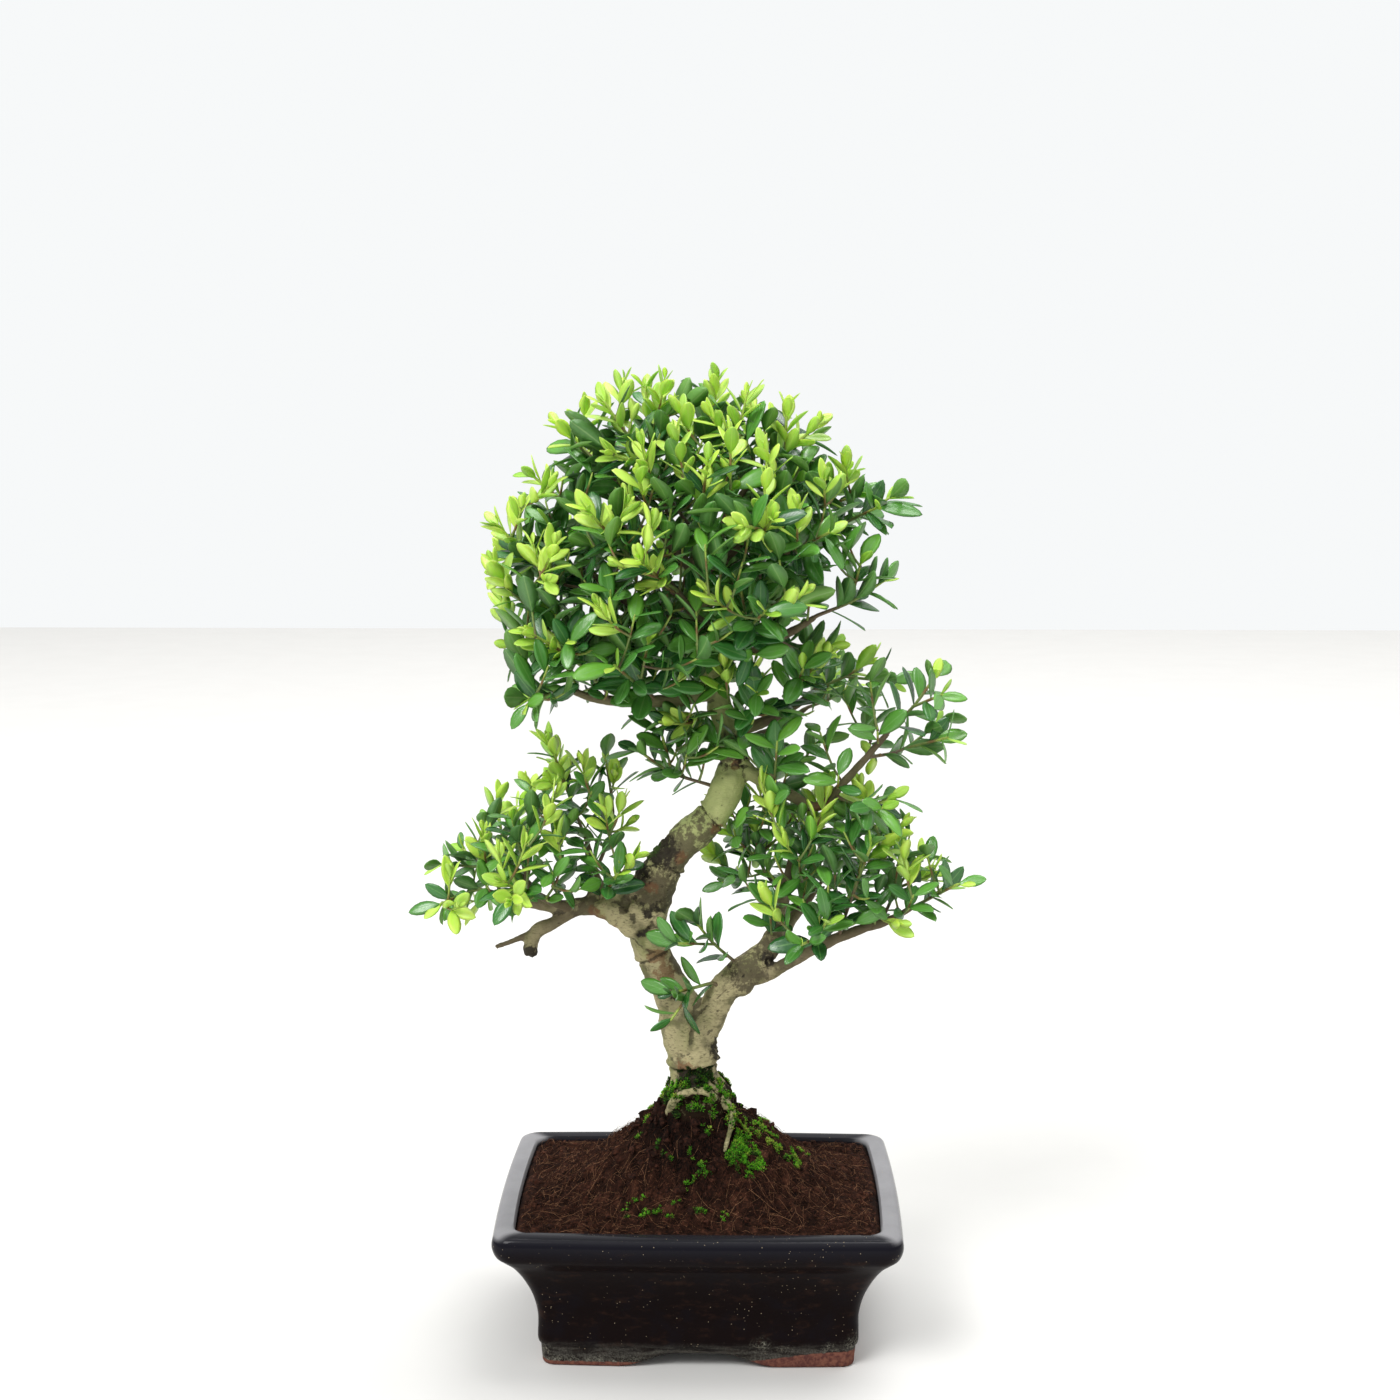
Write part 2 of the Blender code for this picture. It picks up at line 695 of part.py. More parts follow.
def twig_points(seat, normal, tip, bend):
    """Points from the seat along a smooth bend to the tip, where the twig turns upwards."""
    start = seat + SEAT_LENGTH * normal
    end_direction = ((Vector(tip) - start).normalized() + TIP_UPTURN * UP).normalized()
    tip = Vector(tip) - TIP_LEAF_REACH * end_direction
    span = tip - start
    handle = start + HANDLE_SHARE * span.length * normal + bend
    last_handle = tip - HANDLE_SHARE * span.length * end_direction
    return [seat] + interpolate_bezier(start, handle, last_handle, tip, TWIG_STEPS)


def tapered(points, base_radius, tip_radius):
    """The points with radii that shrink evenly from the first to the last."""
    last = len(points) - 1
    radii = [base_radius + (tip_radius - base_radius) * i / last for i in range(len(points))]
    return [(*point, radius) for point, radius in zip(points, radii)]


def around(direction, angle):
    """A direction square to this one, turned round it by the angle in degrees."""
    level = direction.cross(UP)
    if level.length < 0.1:
        level = direction.cross(Vector((0, 1, 0)))
    return Matrix.Rotation(math.radians(angle), 3, direction) @ level.normalized()


class Stem:
    """A twig or a side shoot: its points, its radii and what it takes up."""

    def __init__(self, name, points, base_radius, tip_radius):
        self.name = name
        self.points = points
        self.path = tapered(points, base_radius, tip_radius)
        self.centre = sum(points, Vector()) / len(points)
        self.reach = max((point - self.centre).length for point in points) + REACH_MARGIN
        self.tree = mesh_tree(tube(name, self.path, TWIG_SIDES))
        self.wide_tree = mesh_tree(tube(name, self.path, TWIG_SIDES, extra=STEM_CLEARANCE))

    def occupied(self):
        return (self.tree, self.centre, self.reach)

    def fits(self, wood, others):
        if self.tree.overlap(wood):
            return False
        return not crosses(self.wide_tree, self.centre, self.reach, others)

    def at(self, back):
        """The place this far back from the tip, and the direction there."""
        length = path_length(self.points)
        return along_path(self.points, max(0.0, 1 - back / length))


def grow_twig(name, wood, path, share, tip, others):
    """A twig from the bark to its tip, bent to one side where another is in the way."""
    for shift in SEAT_SHIFTS:
        if share >= 1.0 and shift:
            break
        seat, normal = seat_on_wood(wood, path, share + shift, tip)
        for side in SIDE_BENDS:
            bend = side * around((Vector(tip) - seat).normalized(), 0)
            points = twig_points(seat, normal, tip, bend)
            twig = Stem(name, points, TWIG_RADIUS, TIP_RADIUS)
            if twig.fits(wood, others):
                return twig
    raise ValueError(f"{name} finds no clear way to its tip")


def grow_side_shoot(name, twig, draw, wood, others):
    """A shoot from the middle of the twig, or nothing where no way is clear."""
    root, direction = along_path(twig.points, SIDE_SHOOT_SHARE)
    first_turn = draw.uniform(0, 360)
    length = SIDE_SHOOT_LENGTH * draw.uniform(*SIDE_SHOOT_SPREAD)
    lean = math.radians(SIDE_SHOOT_ANGLE)
    for turn in range(0, 360, SIDE_SHOOT_TURN):
        outward = around(direction, first_turn + turn)
        leaving = math.cos(lean) * direction + math.sin(lean) * outward
        end = root + length * (leaving + SIDE_SHOOT_UPTURN * UP).normalized()
        shoot = Stem(name, [root, end], SIDE_SHOOT_RADIUS, TIP_RADIUS)
        if shoot.fits(wood, others):
            return shoot
    return None


# Leaves


class Leaf:
    """One blade: where it grows, its size and the way it faces."""

    def __init__(self, root, along, facing, length, arch, outline):
        side = along.cross(facing).normalized()
        facing = side.cross(along).normalized()
        frame = Matrix((side, along, facing)).transposed().to_4x4()
        self.matrix = Matrix.Translation(root) @ frame
        self.centre = root + 0.5 * length * along
        self.reach = 0.5 * length + REACH_MARGIN
        self.length = length
        self.half_width = LEAF_WIDTH_SHARE * length / 2
        self.arch = arch
        self.outline = outline

    def blade(self, grow=0.0, first=0):
        """The blade as a bmesh in its place, made larger all round by grow."""
        shape = bmesh.new()
        rows = []
        for share, width_share in self.outline[first:]:
            y = share * self.length
            z = -self.arch * self.length * share * share - LEAF_THICKNESS / 2 - grow
            half = self.half_width * width_share
            if half:
                half += grow
            if share == 1.0:
                y += grow
            xs = (-half, half) if half else (0.0,)
            rows.append([shape.verts.new((x, y, z)) for x in xs])
        for lower, upper in zip(rows, rows[1:]):
            shape.faces.new(lower + upper[::-1])
        faces = bmesh.ops.triangulate(shape, faces=shape.faces)["faces"]
        grown = bmesh.ops.extrude_face_region(shape, geom=faces)["geom"]
        raised = [item for item in grown if isinstance(item, bmesh.types.BMVert)]
        bmesh.ops.translate(shape, vec=(0, 0, LEAF_THICKNESS + 2 * grow), verts=raised)
        bmesh.ops.recalc_face_normals(shape, faces=shape.faces)
        bmesh.ops.transform(shape, matrix=self.matrix, verts=shape.verts)
        return shape

    def tree(self, grow=0.0, first=0):
        shape = self.blade(grow, first)
        made = BVHTree.FromBMesh(shape)
        shape.free()
        return made

    def occupied(self):
        return (self.tree(), self.centre, self.reach)


def leaf_at(stem, back, turn, young, draw_values):
    """A leaf on the stem, this far back from its tip and turned round it."""
    root, direction = stem.at(back)
    outward = around(direction, turn)
    outline = YOUNG_OUTLINE if young else MATURE_OUTLINE
    ranges = (YOUNG_LENGTH, YOUNG_LEAN, YOUNG_ARCH) if young else (MATURE_LENGTH, MATURE_LEAN, MATURE_ARCH)
    length, lean, arch = [least + more * value for (least, more), value in zip(ranges, draw_values)]
    lean = math.radians(lean)
    along = math.cos(lean) * direction + math.sin(lean) * outward
    facing = math.sin(lean) * direction - math.cos(lean) * outward + LEAF_FACING_UP * UP
    return Leaf(root, along, facing, length, arch, outline)


def leaf_places(stem, main):
    """How far back from the stem's tip each leaf grows, and whether it is a young one."""
    young = YOUNG_PLACES if main else SIDE_YOUNG_PLACES
    mature = MAIN_MATURE_LEAVES if main else SIDE_MATURE_LEAVES
    closest, widest = MATURE_SPACING
    spacing = min(widest, max(closest, MATURE_SPREAD * path_length(stem.points)))
    places = [(back, True) for back in young]
    return places + [(MATURE_START + spacing * number, False) for number in range(mature)]


def grow_leaf(stem, back, turn, young, draw, own, others):
    """The leaf with the first turn that keeps it clear of the rest, or nothing."""
    draw_values = (draw.random(), draw.random(), draw.random())
    for change in LEAF_TURNS:
        leaf = leaf_at(stem, back, turn + change, young, draw_values)
        if crosses(leaf.tree(LEAF_CLEARANCE), leaf.centre, leaf.reach, others):
            continue
        if not crosses(leaf.tree(LEAF_CLEARANCE, first=1), leaf.centre, leaf.reach, own):
            return leaf
    return None


class Spray:
    """One node of foliage: a twig, a side shoot and their leaves."""

    def __init__(self, name, path, share, tip):
        self.name = name
        self.path = path
        self.share = share
        self.tip = tip
        self.draw = random.Random(name)
        self.stems = []
        self.leaves = []

    def occupied(self):
        return [piece.occupied() for piece in self.stems + self.leaves]

    def grow_stems(self, wood, others):
        twig = grow_twig(self.name, wood, self.path, self.share, self.tip, others)
        self.stems.append(twig)
        shoot = grow_side_shoot(f"{self.name}_side", twig, self.draw, wood, others)
        if shoot:
            self.stems.append(shoot)

    def grow_leaves(self, others):
        own = [stem.occupied() for stem in self.stems]
        for number, stem in enumerate(self.stems):
            turn = self.draw.uniform(0, 360)
            for back, young in leaf_places(stem, main=number == 0):
                turn += GOLDEN_ANGLE
                leaf = grow_leaf(stem, back, turn, young, self.draw, own, others)
                if leaf:
                    self.leaves.append(leaf)
                    own.append(leaf.occupied())

    def build(self, parts, pieces, material):
        """Fuses the side shoot and the leaves to the twig."""
        twig = self.stems[0]
        node = place(self.name, tube(self.name, twig.path, TWIG_SIDES), parts, material)
        for stem in self.stems[1:]:
            place(stem.name, tube(stem.name, stem.path, TWIG_SIDES), pieces)
        for number, leaf in enumerate(self.leaves):
            name = f"{self.name}_leaf_{number}"
            place(name, to_mesh(name, leaf.blade()), pieces)
        combine(node, pieces, "UNION")
        return node


def grow_sprays(wood, fixed):
    """All the sprays, stems first, so that every leaf can turn clear of every stem."""
    paths = {name: path for name, (_, path) in {**TRUNK, **BRANCHES}.items()}
    sprays = []
    for pad, rows in SPRAYS.items():
        for number, (branch, share, tip) in enumerate(rows, start=1):
            sprays.append(Spray(f"{pad}_spray_{number:02d}", paths[branch], share, tip))
    stems = []
    for spray in sprays:
        spray.grow_stems(wood, stems)
        stems += spray.occupied()
    for spray in sprays:
        others = list(fixed)
        for other in sprays:
            if other is not spray:
                others += other.occupied()
        spray.grow_leaves(others)
    return sprays


def stand_over_origin(nodes):
    """Hangs every node on one empty, which puts the middle of the whole over the origin."""
    corners = [vertex.co for node in nodes for vertex in node.data.vertices]
    middle_x = (min(c.x for c in corners) + max(c.x for c in corners)) / 2
    middle_y = (min(c.y for c in corners) + max(c.y for c in corners)) / 2
    stand = bpy.data.objects.new("bonsai_stand", None)
    bpy.context.scene.collection.objects.link(stand)
    stand.location = (-middle_x, -middle_y, 0)
    for node in nodes:
        node.parent = stand


def main():
    clear_scene()
    parts = collection("japanese_holly_bonsai")
    pieces = collection("cutters_and_joined_pieces")
    pieces.hide_render = True
    nodes = [build_pot(parts, pieces)]
    plastic = finish("mesh_plastic", PLASTIC_COLOUR, PLASTIC_ROUGHNESS)
    for side, x in (("left", -DRAIN_OFFSET), ("right", DRAIN_OFFSET)):
        nodes.append(build_drain_mesh(f"drain_mesh_{side}", x, plastic, parts, pieces))
    nodes.append(build_soil(parts, pieces))
    nodes.append(build_trunk(parts, pieces))
    trunk = nodes[-1]
    wood = mesh_tree(trunk.data)
    fixed = [(mesh_tree(node.data), Vector(), math.inf) for node in nodes]
    foliage = finish("foliage", LEAF_COLOUR, LEAF_ROUGHNESS)
    for spray in grow_sprays(wood, fixed):
        nodes.append(spray.build(parts, pieces, foliage))
    for node in nodes:
        node.data.shade_smooth()
        node.data.set_sharp_from_angle(angle=math.radians(SHARP_ANGLE))
    stand_over_origin(nodes)


main()
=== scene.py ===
"""Finish of a Japanese holly grown as a bonsai, in a dark glazed rectangular pot.

Sizes are in millimetres from the middle of the pot's underside until a mesh is made:
X runs along the pot, Y away from the viewer and Z up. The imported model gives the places.
"""

import logging
import math
import random
from collections import defaultdict
from dataclasses import dataclass, field
from enum import Enum, IntEnum
from itertools import product
from typing import Any

import bmesh
import bpy
import numpy as np
from mathutils import Matrix, Vector, noise
from mathutils.bvhtree import BVHTree
from mathutils.geometry import interpolate_bezier


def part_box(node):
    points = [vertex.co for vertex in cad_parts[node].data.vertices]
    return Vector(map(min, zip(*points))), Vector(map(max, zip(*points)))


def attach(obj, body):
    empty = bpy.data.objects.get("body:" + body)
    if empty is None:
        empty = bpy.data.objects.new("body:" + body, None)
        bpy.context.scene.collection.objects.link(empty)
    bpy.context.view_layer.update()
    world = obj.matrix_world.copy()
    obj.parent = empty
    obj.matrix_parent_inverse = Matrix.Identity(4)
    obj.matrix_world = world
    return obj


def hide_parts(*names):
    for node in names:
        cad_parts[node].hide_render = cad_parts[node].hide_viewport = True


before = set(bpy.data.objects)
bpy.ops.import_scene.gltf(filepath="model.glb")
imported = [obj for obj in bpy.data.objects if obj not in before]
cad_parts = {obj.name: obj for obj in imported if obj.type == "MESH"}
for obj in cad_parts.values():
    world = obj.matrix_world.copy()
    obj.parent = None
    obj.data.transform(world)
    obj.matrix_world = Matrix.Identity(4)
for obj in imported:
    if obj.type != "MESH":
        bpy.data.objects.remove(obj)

LOG = logging.getLogger("bonsai")
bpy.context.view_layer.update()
MM = 0.001
UP = Vector((0, 0, 1))
POT_LOW, POT_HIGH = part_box("pot")
POT_MIDDLE = Vector((*((POT_LOW + POT_HIGH) / 2).xy, 0)) / MM
MIDDLE = np.array(POT_MIDDLE)
ROOT = "root"
VIEWPOINT = (18.4, -1000.0, 474.6)

Colour = tuple[float, float, float]
Place = tuple[float, float, float]
Ball = tuple[float, float, float, float]
WoodPath = tuple[Ball, ...]
SprayRow = tuple[str, float, float, float, float]

# Wood, as in the solid model: points along each axis with their radius
STEM: WoodPath = (
    (0, 0, 86, 12), (0, 0, 100, 16), (-1, 0, 114, 19), (-2, 0, 122, 17.5),
    (-3, 0, 130, 14.2), (-4, 0, 140, 13.6), (-5, 0, 150, 14), (-8, 1, 160, 12.6),
    (-12, 1, 170, 10.4), (-18, 2, 181, 9.2), (-24, 3, 195, 9), (-27, 4, 207, 10.4),
    (-26, 4, 219, 12), (-21, 3, 231, 10.4), (-14, 2, 243, 8.8), (-5, 1, 253, 8.8),
    (6, 0, 263, 8.2), (12, 0, 274, 8.4), (16, 0, 287, 7.6), (15, 1, 299, 6.4),
    (11, 1, 314, 5.6), (4, 1, 338, 5), (1, 1, 354, 4.4), (0, 2, 371, 3.8),
    (-1, 1, 392, 3), (0, 0, 412, 2),
)
ROOTS: dict[str, WoodPath] = {
    "front_root": (
        (8, -6, 120, 6.5), (17, -12, 117, 4.4), (17, -20, 110, 3.8), (13, -27, 102, 3.4),
        (10, -35, 90, 2.6),
    ),
    "arched_root": (
        (-13, -8, 116, 3.6), (-12, -15, 123, 3), (-5, -19, 126, 2.8), (2, -19, 122, 2.8),
        (5, -21, 110, 2.6),
    ),
    "left_root": (
        (-10, -2, 117, 6), (-22, -6, 110, 4), (-34, -8, 101, 3), (-45, -9, 89, 2.2),
    ),
    "right_root": (
        (12, 0, 116, 6), (26, -6, 110, 4), (37, -11, 101, 3), (47, -15, 89, 2.2),
    ),
    "back_root": (
        (2, 8, 116, 6), (4, 20, 109, 4), (6, 31, 99, 3), (6, 41, 86, 2.2),
    ),
}
BRANCHES: dict[str, WoodPath] = {
    "right_limb": (
        (-2, 0, 146, 8), (4, -1, 160, 8.4), (9, -2, 170, 7.4), (15, -3, 179, 7.8),
        (24, -3, 187, 7.4), (33, -1, 195, 6), (38, 2, 204, 4.6), (41, 4, 217, 3.4),
        (44, 6, 232, 2.6), (47, 8, 246, 1.8),
    ),
    "right_arm": (
        (18, -4, 180, 4.6), (32, -6, 184, 3.8), (46, -8, 192, 3.2), (60, -8, 200, 3),
        (78, -6, 207, 2.6), (94, -4, 212, 2.2), (105, -3, 218, 1.6),
    ),
    "right_back": ((34, 0, 197, 4.2), (47, 16, 208, 3), (60, 32, 220, 1.8)),
    "left_limb": (
        (-30, 4, 214, 6), (-38, 3, 218, 6.8), (-47, 1, 219, 6.2), (-56, 0, 217, 4.8),
        (-66, -2, 217, 3.8), (-80, -3, 219, 3.2), (-95, -2, 221, 2.6), (-108, 0, 225, 1.8),
    ),
    "left_stub": (
        (-60, -2, 217, 3.2), (-72, -5, 210, 3.4), (-80, -7, 206, 4), (-84, -8, 196, 4.4),
    ),
    "left_snag": ((-77, -6, 208, 2), (-90, -7, 202, 1.6), (-101, -7, 198, 1.3)),
    "left_rise": ((-46, 1, 219, 4), (-53, 9, 231, 2.8), (-57, 14, 246, 1.8)),
    "left_front": ((-64, -2, 217, 2.8), (-72, -15, 223, 2.2), (-80, -25, 230, 1.5)),
    "left_back": ((-78, -2, 219, 2.6), (-87, 12, 226, 2), (-96, 25, 233, 1.5)),
    "middle_limb": (
        (15, 0, 291, 4.4), (24, -2, 286, 4), (33, -5, 281, 3.4), (45, -8, 275, 3),
        (57, -10, 270, 2.6), (66, -12, 278, 2.3), (79, -13, 293, 2), (91, -13, 307, 1.5),
    ),
    "middle_high": ((13, 1, 303, 3.6), (28, 6, 308, 2.9), (44, 9, 315, 2.3), (58, 11, 325, 1.6)),
    "middle_back": ((15, 2, 296, 3.2), (26, 18, 299, 2.6), (40, 32, 303, 2), (53, 42, 310, 1.5)),
    "crown_left_low": (
        (8, 1, 326, 4), (-6, -8, 323, 3.4), (-28, -14, 322, 3), (-48, -18, 324, 2.4),
        (-62, -21, 329, 1.7),
    ),
    "crown_left": ((1, 1, 353, 3.4), (-18, 6, 360, 2.9), (-38, 8, 370, 2.3), (-54, 8, 383, 1.6)),
    "crown_left_high": ((-1, 1, 381, 2.8), (-16, -4, 400, 2.2), (-29, -6, 418, 1.6)),
    "crown_right_low": (
        (4, 1, 340, 3.6), (22, -10, 346, 3), (41, -17, 355, 2.3), (55, -20, 364, 1.6),
    ),
    "crown_right": ((0, 2, 367, 3.2), (22, 6, 378, 2.7), (42, 8, 391, 2.1), (56, 8, 401, 1.5)),
    "crown_right_high": ((-1, 1, 393, 2.5), (13, -2, 411, 2), (25, -4, 428, 1.5)),
    "crown_back": ((3, 1, 348, 3.2), (-2, 22, 358, 2.7), (-6, 40, 369, 2.1), (-8, 53, 380, 1.5)),
    "crown_back_right": ((0, 2, 374, 2.8), (13, 18, 386, 2.2), (26, 35, 397, 1.6)),
    "crown_back_left": ((1, 2, 361, 2.8), (-16, 20, 376, 2.3), (-32, 36, 390, 1.6)),
    "crown_front": ((2, 1, 359, 3), (-4, -18, 367, 2.4), (-10, -35, 378, 1.6)),
    "crown_front_right": ((0, 2, 379, 2.7), (13, -17, 392, 2.1), (24, -33, 403, 1.5)),
}

# Leafy sprays, as in the solid model: the branch, how far along it, and the tip
SPRAYS: dict[str, tuple[SprayRow, ...]] = {
    "crown": (
        ("crown_left_low", 1.0, -88, -26, 330), ("crown_left", 0.55, -99, 6, 350),
        ("crown_left", 1.0, -103, 10, 396), ("crown_left", 0.8, -100, -16, 414),
        ("crown_left_high", 0.7, -86, 6, 436), ("crown_left_high", 1.0, -70, -10, 461),
        ("crown_left_high", 0.5, -46, -26, 473), ("stem", 0.975, -28, 10, 480),
        ("stem", 1.0, 9, 4, 484), ("crown_right_high", 0.6, 38, 14, 463),
        ("crown_right_high", 1.0, 60, -10, 462), ("crown_right", 0.75, 74, 26, 438),
        ("crown_right", 1.0, 96, 2, 426), ("crown_right_low", 1.0, 92, -20, 388),
        ("crown_right_low", 0.65, 70, 6, 352), ("crown_front", 0.6, -54, -52, 424),
        ("crown_front", 1.0, -28, -68, 402), ("crown_front_right", 0.5, 4, -54, 446),
        ("crown_front_right", 1.0, 36, -68, 420), ("crown_right_low", 0.4, 32, -66, 378),
        ("crown_left_low", 0.45, -40, -60, 352), ("crown_right", 0.5, 64, -42, 412),
        ("crown_back_left", 1.0, -62, 56, 410), ("crown_back_left", 0.6, -26, 52, 440),
        ("crown_back", 1.0, -20, 80, 392), ("crown_back", 0.6, 24, 62, 362),
        ("crown_back_right", 1.0, 40, 62, 424), ("crown_back", 0.4, -52, 46, 352),
        ("crown_left_low", 0.75, -82, -44, 366),
    ),
    "left": (
        ("left_limb", 1.0, -132, -4, 226), ("left_limb", 0.9, -122, 14, 250),
        ("left_back", 1.0, -104, 34, 262), ("left_limb", 0.7, -92, -14, 272),
        ("left_rise", 1.0, -76, 4, 308), ("left_rise", 0.6, -48, 26, 296),
        ("left_front", 1.0, -96, -44, 246), ("left_limb", 0.25, -38, -26, 246),
    ),
    "middle": (
        ("middle_limb", 1.0, 116, -14, 342), ("middle_limb", 0.85, 122, 8, 316),
        ("middle_high", 1.0, 88, 20, 344), ("middle_high", 0.55, 62, -16, 352),
        ("middle_high", 0.25, 28, -32, 336), ("middle_limb", 0.6, 98, -22, 282),
        ("middle_back", 1.0, 80, 58, 326),
    ),
    "right": (
        ("right_arm", 1.0, 124, -4, 236), ("right_arm", 0.85, 112, 20, 246),
        ("right_arm", 0.6, 84, -28, 262), ("right_limb", 1.0, 64, 4, 284),
        ("right_limb", 0.8, 26, 12, 262), ("right_back", 1.0, 78, 52, 246),
        ("right_arm", 0.45, 62, -40, 226),
    ),
    "trunk": (
        ("right_limb", 0.3, -18, -24, 184), ("right_limb", 0.4, -4, -10, 218),
        ("stem", 0.6, -34, -10, 304), ("stem", 0.72, -20, -26, 318),
    ),
}

# The sprigs that hang before the bare trunk
FRONT_SPRIGS = ("trunk_spray_01", "trunk_spray_02")

# Growth rule of the solid model
SEAT_GAP = 0.3
TWIG_RADIUS = 1.25
TIP_RADIUS = 0.75
SEAT_LENGTH = 1.5
TWIG_STEPS = 3
TIP_LEAF_REACH = 8.0
STEM_CLEARANCE = 0.5
START_INSIDE = 2.0
SQUARE_TO_BRANCH = 0.75
HANDLE_SHARE = 0.3
TIP_UPTURN = 0.7
SEAT_SHIFTS = (0.0, -0.06, 0.06, -0.12, 0.12)
SIDE_BENDS = (0, 5, -5, 9, -9, 14, -14)
REACH_MARGIN = 2.0
SIDE_SHOOT_SHARE = 0.5
SIDE_SHOOT_LENGTH = 21.0
SIDE_SHOOT_SPREAD = (0.85, 1.15)
SIDE_SHOOT_ANGLE = 50.0
SIDE_SHOOT_RADIUS = 0.85
SIDE_SHOOT_UPTURN = 0.25
SIDE_SHOOT_TURN = 45
MATURE_OUTLINE = ((0.0, 0.0), (0.58, 1.0), (1.0, 0.36))
YOUNG_OUTLINE = ((0.0, 0.0), (0.58, 1.0), (1.0, 0.0))
LEAF_THICKNESS = 0.7
LEAF_CLEARANCE = 0.4
LEAF_WIDTH_SHARE = 0.46
LEAF_FACING_UP = 0.5
GOLDEN_ANGLE = 137.5
LEAF_TURNS = (0, 24, -24, 48, -48, 72, -72, 100, -100)
MATURE_LENGTH = (15.5, 5.0)
MATURE_LEAN = (46, 18)
MATURE_ARCH = (0.06, 0.16)
YOUNG_LENGTH = (8.5, 4.5)
YOUNG_LEAN = (22, 18)
YOUNG_ARCH = (0.0, 0.05)
YOUNG_PLACES = (0.8, 2.4)
SIDE_YOUNG_PLACES = (0.8,)
MATURE_START = 10.0
MATURE_SPREAD = 0.17
MATURE_SPACING = (7.0, 14.0)
MAIN_MATURE_LEAVES = 3
SIDE_MATURE_LEAVES = 1


class Slot(str, Enum):
    """The record's material slots."""

    GLAZE = "glaze"
    PLASTIC = "mesh_plastic"
    SUBSTRATE = "substrate"
    BARK = "bark"
    FOLIAGE = "foliage"


class LeafFace(IntEnum):
    """The finishes of a spray, in the order of its material slots."""

    SHOOT = 0
    MATURE = 1
    UNDERSIDE = 2
    NEW = 3


# Shapes in arrays


def unit(vectors: np.ndarray) -> np.ndarray:
    """The vectors with length one."""
    return vectors / np.maximum(np.linalg.norm(vectors, axis=-1, keepdims=True), 1e-9)


def smooth_path(points: np.ndarray, spacing: float) -> np.ndarray:
    """Draws a smooth curve through points.

    Args:
        points: Rows of coordinates, with a radius or none after them.
        spacing: The wanted distance between the curve's points.

    Returns:
        The curve's rows, the first and last as given.
    """
    points = np.asarray(points, float)
    ends = np.vstack([2 * points[0] - points[1], points, 2 * points[-1] - points[-2]])
    rows = []
    for a, b, c, d in zip(ends, ends[1:], ends[2:], ends[3:]):
        steps = max(1, round(float(np.linalg.norm((c - b)[:3])) / spacing))
        for t in np.arange(steps) / steps:
            rows.append(0.5 * (
                2 * b + (c - a) * t + (2 * a - 5 * b + 4 * c - d) * t**2
                + (3 * b - a - 3 * c + d) * t**3
            ))
    rows.append(points[-1])
    return np.array(rows)


@dataclass
class Form:
    """A closed shape: points in millimetres, its three-sided and its four-sided faces."""

    points: np.ndarray
    triangles: np.ndarray
    quads: np.ndarray = field(default_factory=lambda: np.empty((0, 4), int))


def loft(rings: np.ndarray, low_pole: Any, high_pole: Any) -> Form:
    """Closes a stack of rings of equal length.

    Args:
        rings: Array of rings, each with its points in order.
        low_pole: The point that closes the first ring.
        high_pole: The point that closes the last ring.

    Returns:
        The closed form.
    """
    count, sides, _ = rings.shape
    points = np.vstack([rings.reshape(-1, 3), low_pole, high_pole])
    here = np.arange(sides)
    after = (here + 1) % sides
    starts = (np.arange(count - 1) * sides)[:, None]
    quads = np.stack(
        [starts + here, starts + after, starts + after + sides, starts + here + sides], axis=-1
    ).reshape(-1, 4)
    low = np.stack([after, here, np.full(sides, count * sides)], axis=-1)
    top = (count - 1) * sides
    high = np.stack([top + here, top + after, np.full(sides, count * sides + 1)], axis=-1)
    return Form(points, np.vstack([low, high]), quads)


def round_body(subdivisions: int) -> Form:
    """Makes a ball of radius one.

    Args:
        subdivisions: How often its faces are divided.

    Returns:
        The ball.
    """
    ball = bmesh.new()
    bmesh.ops.create_icosphere(ball, subdivisions=subdivisions, radius=1.0)
    points = np.array([vertex.co for vertex in ball.verts])
    triangles = np.array([[vertex.index for vertex in face.verts] for face in ball.faces])
    ball.free()
    return Form(points, triangles)


def sweep(path: np.ndarray, sides: int, cap: float = 0.4) -> Form:
    """Wraps a round body about a path.

    Args:
        path: Rows of x, y, z and radius.
        sides: The number of points round it.
        cap: How far each end bulges, as a share of its radius.

    Returns:
        The closed body.
    """
    centres, radii = path[:, :3], path[:, 3]
    along = unit(np.gradient(centres, axis=0))
    start = np.cross(along[0], (0.3, 0.9, 0.2))
    angles = np.arange(sides) * 2 * math.pi / sides
    rings = []
    for centre, radius, direction in zip(centres, radii, along):
        start = unit(start - start.dot(direction) * direction)
        across = np.cross(direction, start)
        ring = np.cos(angles)[:, None] * start + np.sin(angles)[:, None] * across
        rings.append(centre + radius * ring)
    low = centres[0] - cap * radii[0] * along[0]
    high = centres[-1] + cap * radii[-1] * along[-1]
    return loft(np.array(rings), low, high)


def noise_at(points: np.ndarray, size: float, seed: float = 0.0) -> np.ndarray:
    """Smooth noise between about -1 and 1, with lumps of the given size."""
    scaled = points / size + seed
    return np.array([noise.noise(Vector(point)) for point in scaled])


def ease(values: Any, low: float, high: float) -> Any:
    """Rises smoothly from 0 at low to 1 at high."""
    share = np.clip((values - low) / (high - low), 0.0, 1.0)
    return share * share * (3 - 2 * share)


